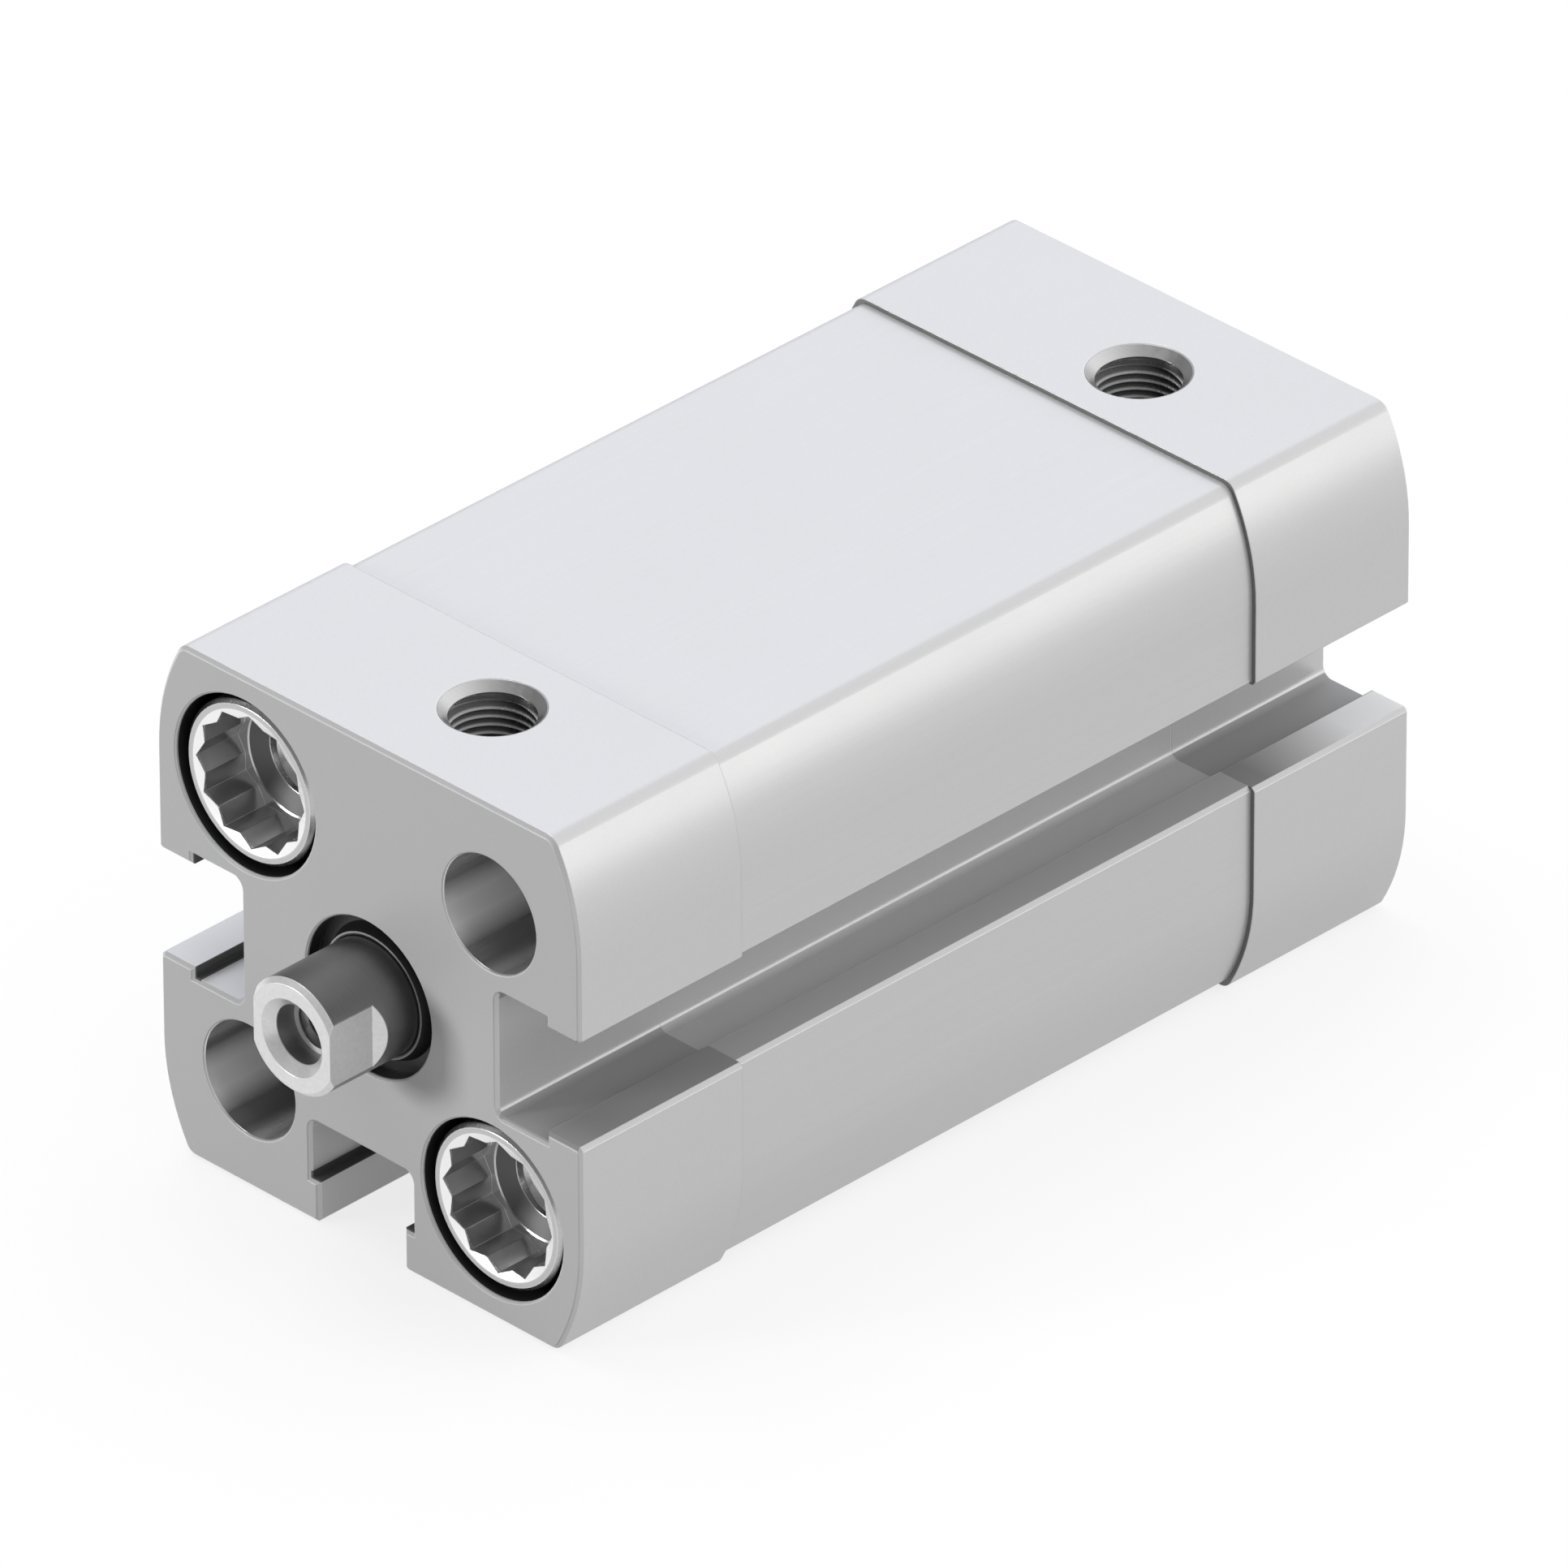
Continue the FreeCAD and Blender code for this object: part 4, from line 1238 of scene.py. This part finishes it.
@dataclass
class RodSet(Assembly):
    """Piston rod with the ledge and the thread in its end, and the piston parts."""

    nodes: tuple[str, ...] = (
        "piston_rod", "front_piston_disc", "rear_piston_disc", "piston_magnet", "piston_static_seal",
        "piston_nut", "piston_guide_ring", "front_piston_seal", "rear_piston_seal",
    )
    end: float = -4.9
    ledge_corners: tuple[Span, ...] = ((1.53, 1.62), (1.22, 1.64), (1.53, 1.95))
    thread_start: float = -3.15
    thread_length: float = 7.15
    radius: float = 1.5
    pitch: float = 0.5
    height: float = 0.27

    def build(self, shop: Workshop) -> None:
        """Adds the ledge and the thread in the rod end.

        Args:
            shop: Workshop that dresses the pieces.
        """
        ring = LatheRing("rod_end_ledge", (0.0, self.end, 0.0), FORWARD, self.ledge_corners)
        shop.add_piece(ring.build(), Body.ROD, CUT_LEDGE)
        start = (0.0, self.thread_start, 0.0)
        rib = ThreadRib(
            "rod_end_thread", start, FORWARD, self.radius, self.pitch, self.height, self.thread_length
        )
        shop.add_piece(rib.build(), Body.ROD, FINISHES["rod_steel"])


@dataclass
class SealSet(Assembly):
    """Rod guide, wiper, joint seals and cushions inside the housing."""

    nodes: tuple[str, ...] = (
        "rod_bearing_bush", "rod_wiper_seal", "front_joint_seal", "rear_joint_seal", "front_cushion_ring",
        "rear_cushion_ring",
    )


@dataclass
class PhotoCamera:
    """Camera of the photograph, fitted to the outline of the part; clip distances are in metres."""

    place: Place = (733.696, -708.467, 636.110)
    azimuth: float = 44.9256
    elevation: float = 31.4890
    roll: float = -0.1816
    lens: float = 600.045
    sensor: float = 36.0
    clip: Span = (0.05, 20.0)

    def build(self) -> None:
        """Sets the scene's camera."""
        turn, rise, lean = (math.radians(angle) for angle in (self.azimuth, self.elevation, self.roll))
        ahead = Vector((-math.sin(turn) * math.cos(rise), math.cos(turn) * math.cos(rise), -math.sin(rise)))
        level = ahead.cross(Vector(UPWARD)).normalized()
        upright = level.cross(ahead)
        right = level * math.cos(lean) + upright * math.sin(lean)
        up = upright * math.cos(lean) - level * math.sin(lean)
        data = bpy.data.cameras.new("photo_camera")
        data.sensor_width = self.sensor
        data.lens = self.lens
        data.clip_start, data.clip_end = self.clip
        thing = new_object("photo_camera", data)
        turned = Matrix((right, up, -ahead)).transposed().to_4x4()
        thing.matrix_world = Matrix.Translation(Vector(self.place) * MM) @ turned
        bpy.context.scene.camera = thing
        log.info("camera set")


@dataclass(frozen=True)
class Lamp:
    """Soft rectangular lamp: place, size and aim in metres, power in watts."""

    name: str
    place: Place
    size: Span
    power: float
    colour: Tint
    aim: Place = MIDDLE

    def build(self) -> None:
        """Hangs the lamp."""
        data = bpy.data.lights.new(self.name, "AREA")
        data.shape = "RECTANGLE"
        data.size, data.size_y = self.size
        data.energy = self.power
        data.color = self.colour.rgba()[:3]
        turn = (Vector(self.place) - Vector(self.aim)).to_track_quat("Z", "Y").to_matrix().to_4x4()
        new_object(self.name, data).matrix_world = Matrix.Translation(self.place) @ turn


@dataclass
class Studio:
    """Plain white floor, soft grey sky and soft lamps."""

    floor_level: float = -13.87
    floor_radius: float = 2000.0
    floor_segments: int = 128
    floor_colour: Tint = grey(0.22)
    floor_white: float = 0.78
    sky: tuple[Span, ...] = ((0.0, 0.38), (0.1, 0.45), (0.35, 0.65), (1.0, 0.67))
    sky_blue: float = 1.01
    sky_lean: Span = (0.5, 0.85)
    lamps: tuple[Lamp, ...] = (
        Lamp("key_softbox", (-0.3, -0.05, 0.9), (0.5, 0.5), 2.8, grey(1.0)),
        Lamp("front_softbox", (-0.59, -0.91, 0.2), (0.26, 0.26), 5.4, grey(1.0)),
        Lamp("side_softbox", (0.64, 0.5, 0.13), (1.7, 0.24), 2.4, Tint(1.0, 0.985, 0.955)),
        Lamp("rear_softbox", (-0.66, 0.69, 0.57), (0.8, 0.8), 1.4, Tint(0.9, 0.96, 1.12)),
    )

    def build(self) -> None:
        """Sets up floor, sky and lamps."""
        self.lay_floor()
        self.hang_sky()
        for lamp in self.lamps:
            lamp.build()
        bpy.context.scene.view_settings.view_transform = "Standard"
        log.info("studio set")

    def lay_floor(self) -> None:
        """Lays a round pale floor under the part."""
        mesh = bmesh.new()
        radius = self.floor_radius * MM
        bmesh.ops.create_circle(mesh, cap_ends=True, segments=self.floor_segments, radius=radius)
        bmesh.ops.translate(mesh, vec=(*MIDDLE[:2], self.floor_level * MM), verts=mesh.verts[:])
        thing = mesh_object("studio_floor", mesh)
        thing.data.materials.append(self.floor_material())

    def floor_material(self) -> bpy.types.Material:
        """Floor that is white to the eye and in reflections, keeps a soft shadow and is clear from below.

        Returns:
            The floor material.
        """
        material = blank_material("studio_floor_pale")
        sheet = NodeSheet(material.node_tree)
        paint = sheet.add("ShaderNodeBsdfDiffuse", {"Color": self.floor_colour.rgba()})
        path = sheet.add("ShaderNodeLightPath").outputs
        seen = sheet.either(path["Is Camera Ray"], path["Is Glossy Ray"], path["Is Transmission Ray"])
        strength = sheet.calc("MULTIPLY", seen, self.floor_white)
        white = sheet.add("ShaderNodeEmission", {"Color": grey(1.0).rgba(), "Strength": strength})
        both = sheet.add("ShaderNodeAddShader", {0: paint.outputs["BSDF"], 1: white.outputs["Emission"]})
        clear = sheet.add("ShaderNodeBsdfTransparent")
        below = sheet.add("ShaderNodeNewGeometry").outputs["Backfacing"]
        entries = {"Fac": below, 1: both.outputs["Shader"], 2: clear.outputs["BSDF"]}
        either_side = sheet.add("ShaderNodeMixShader", entries)
        sheet.add("ShaderNodeOutputMaterial", {"Surface": either_side.outputs["Shader"]})
        return material

    def hang_sky(self) -> None:
        """Hangs a soft sky that is darker at the horizon, to the left and in front."""
        world = bpy.data.worlds.new("studio_sky")
        bpy.context.scene.world = world
        world.use_nodes = True
        world.node_tree.nodes.clear()
        sheet = NodeSheet(world.node_tree)
        side, along, height = sheet.split(sheet.add("ShaderNodeTexCoord").outputs["Generated"])
        ramp = sheet.add("ShaderNodeValToRGB", {"Fac": height})
        stops = ramp.color_ramp.elements
        for level, _ in self.sky[1:-1]:
            stops.new(level)
        for stop, (level, value) in zip(stops, self.sky):
            stop.position = level
            stop.color = (value, value, value * self.sky_blue, 1.0)
        right, rear = self.sky_lean
        sideways = sheet.calc("MULTIPLY_ADD", side, right, 1.0)
        strength = sheet.calc("MULTIPLY_ADD", along, rear, sideways)
        sky = sheet.add("ShaderNodeBackground", {"Color": ramp.outputs["Color"], "Strength": strength})
        sheet.add("ShaderNodeOutputWorld", {"Surface": sky.outputs["Background"]})


def main() -> None:
    """Builds and dresses the cylinder, then the studio and the camera."""
    logging.basicConfig(level=logging.INFO, format="%(message)s")
    shop = Workshop()
    for assembly in (Housing(), CollarScrews(), RodSet(), SealSet()):
        assembly.build(shop)
        assembly.dress(shop)
    Studio().build()
    PhotoCamera().build()


if __name__ == "__main__":
    main()
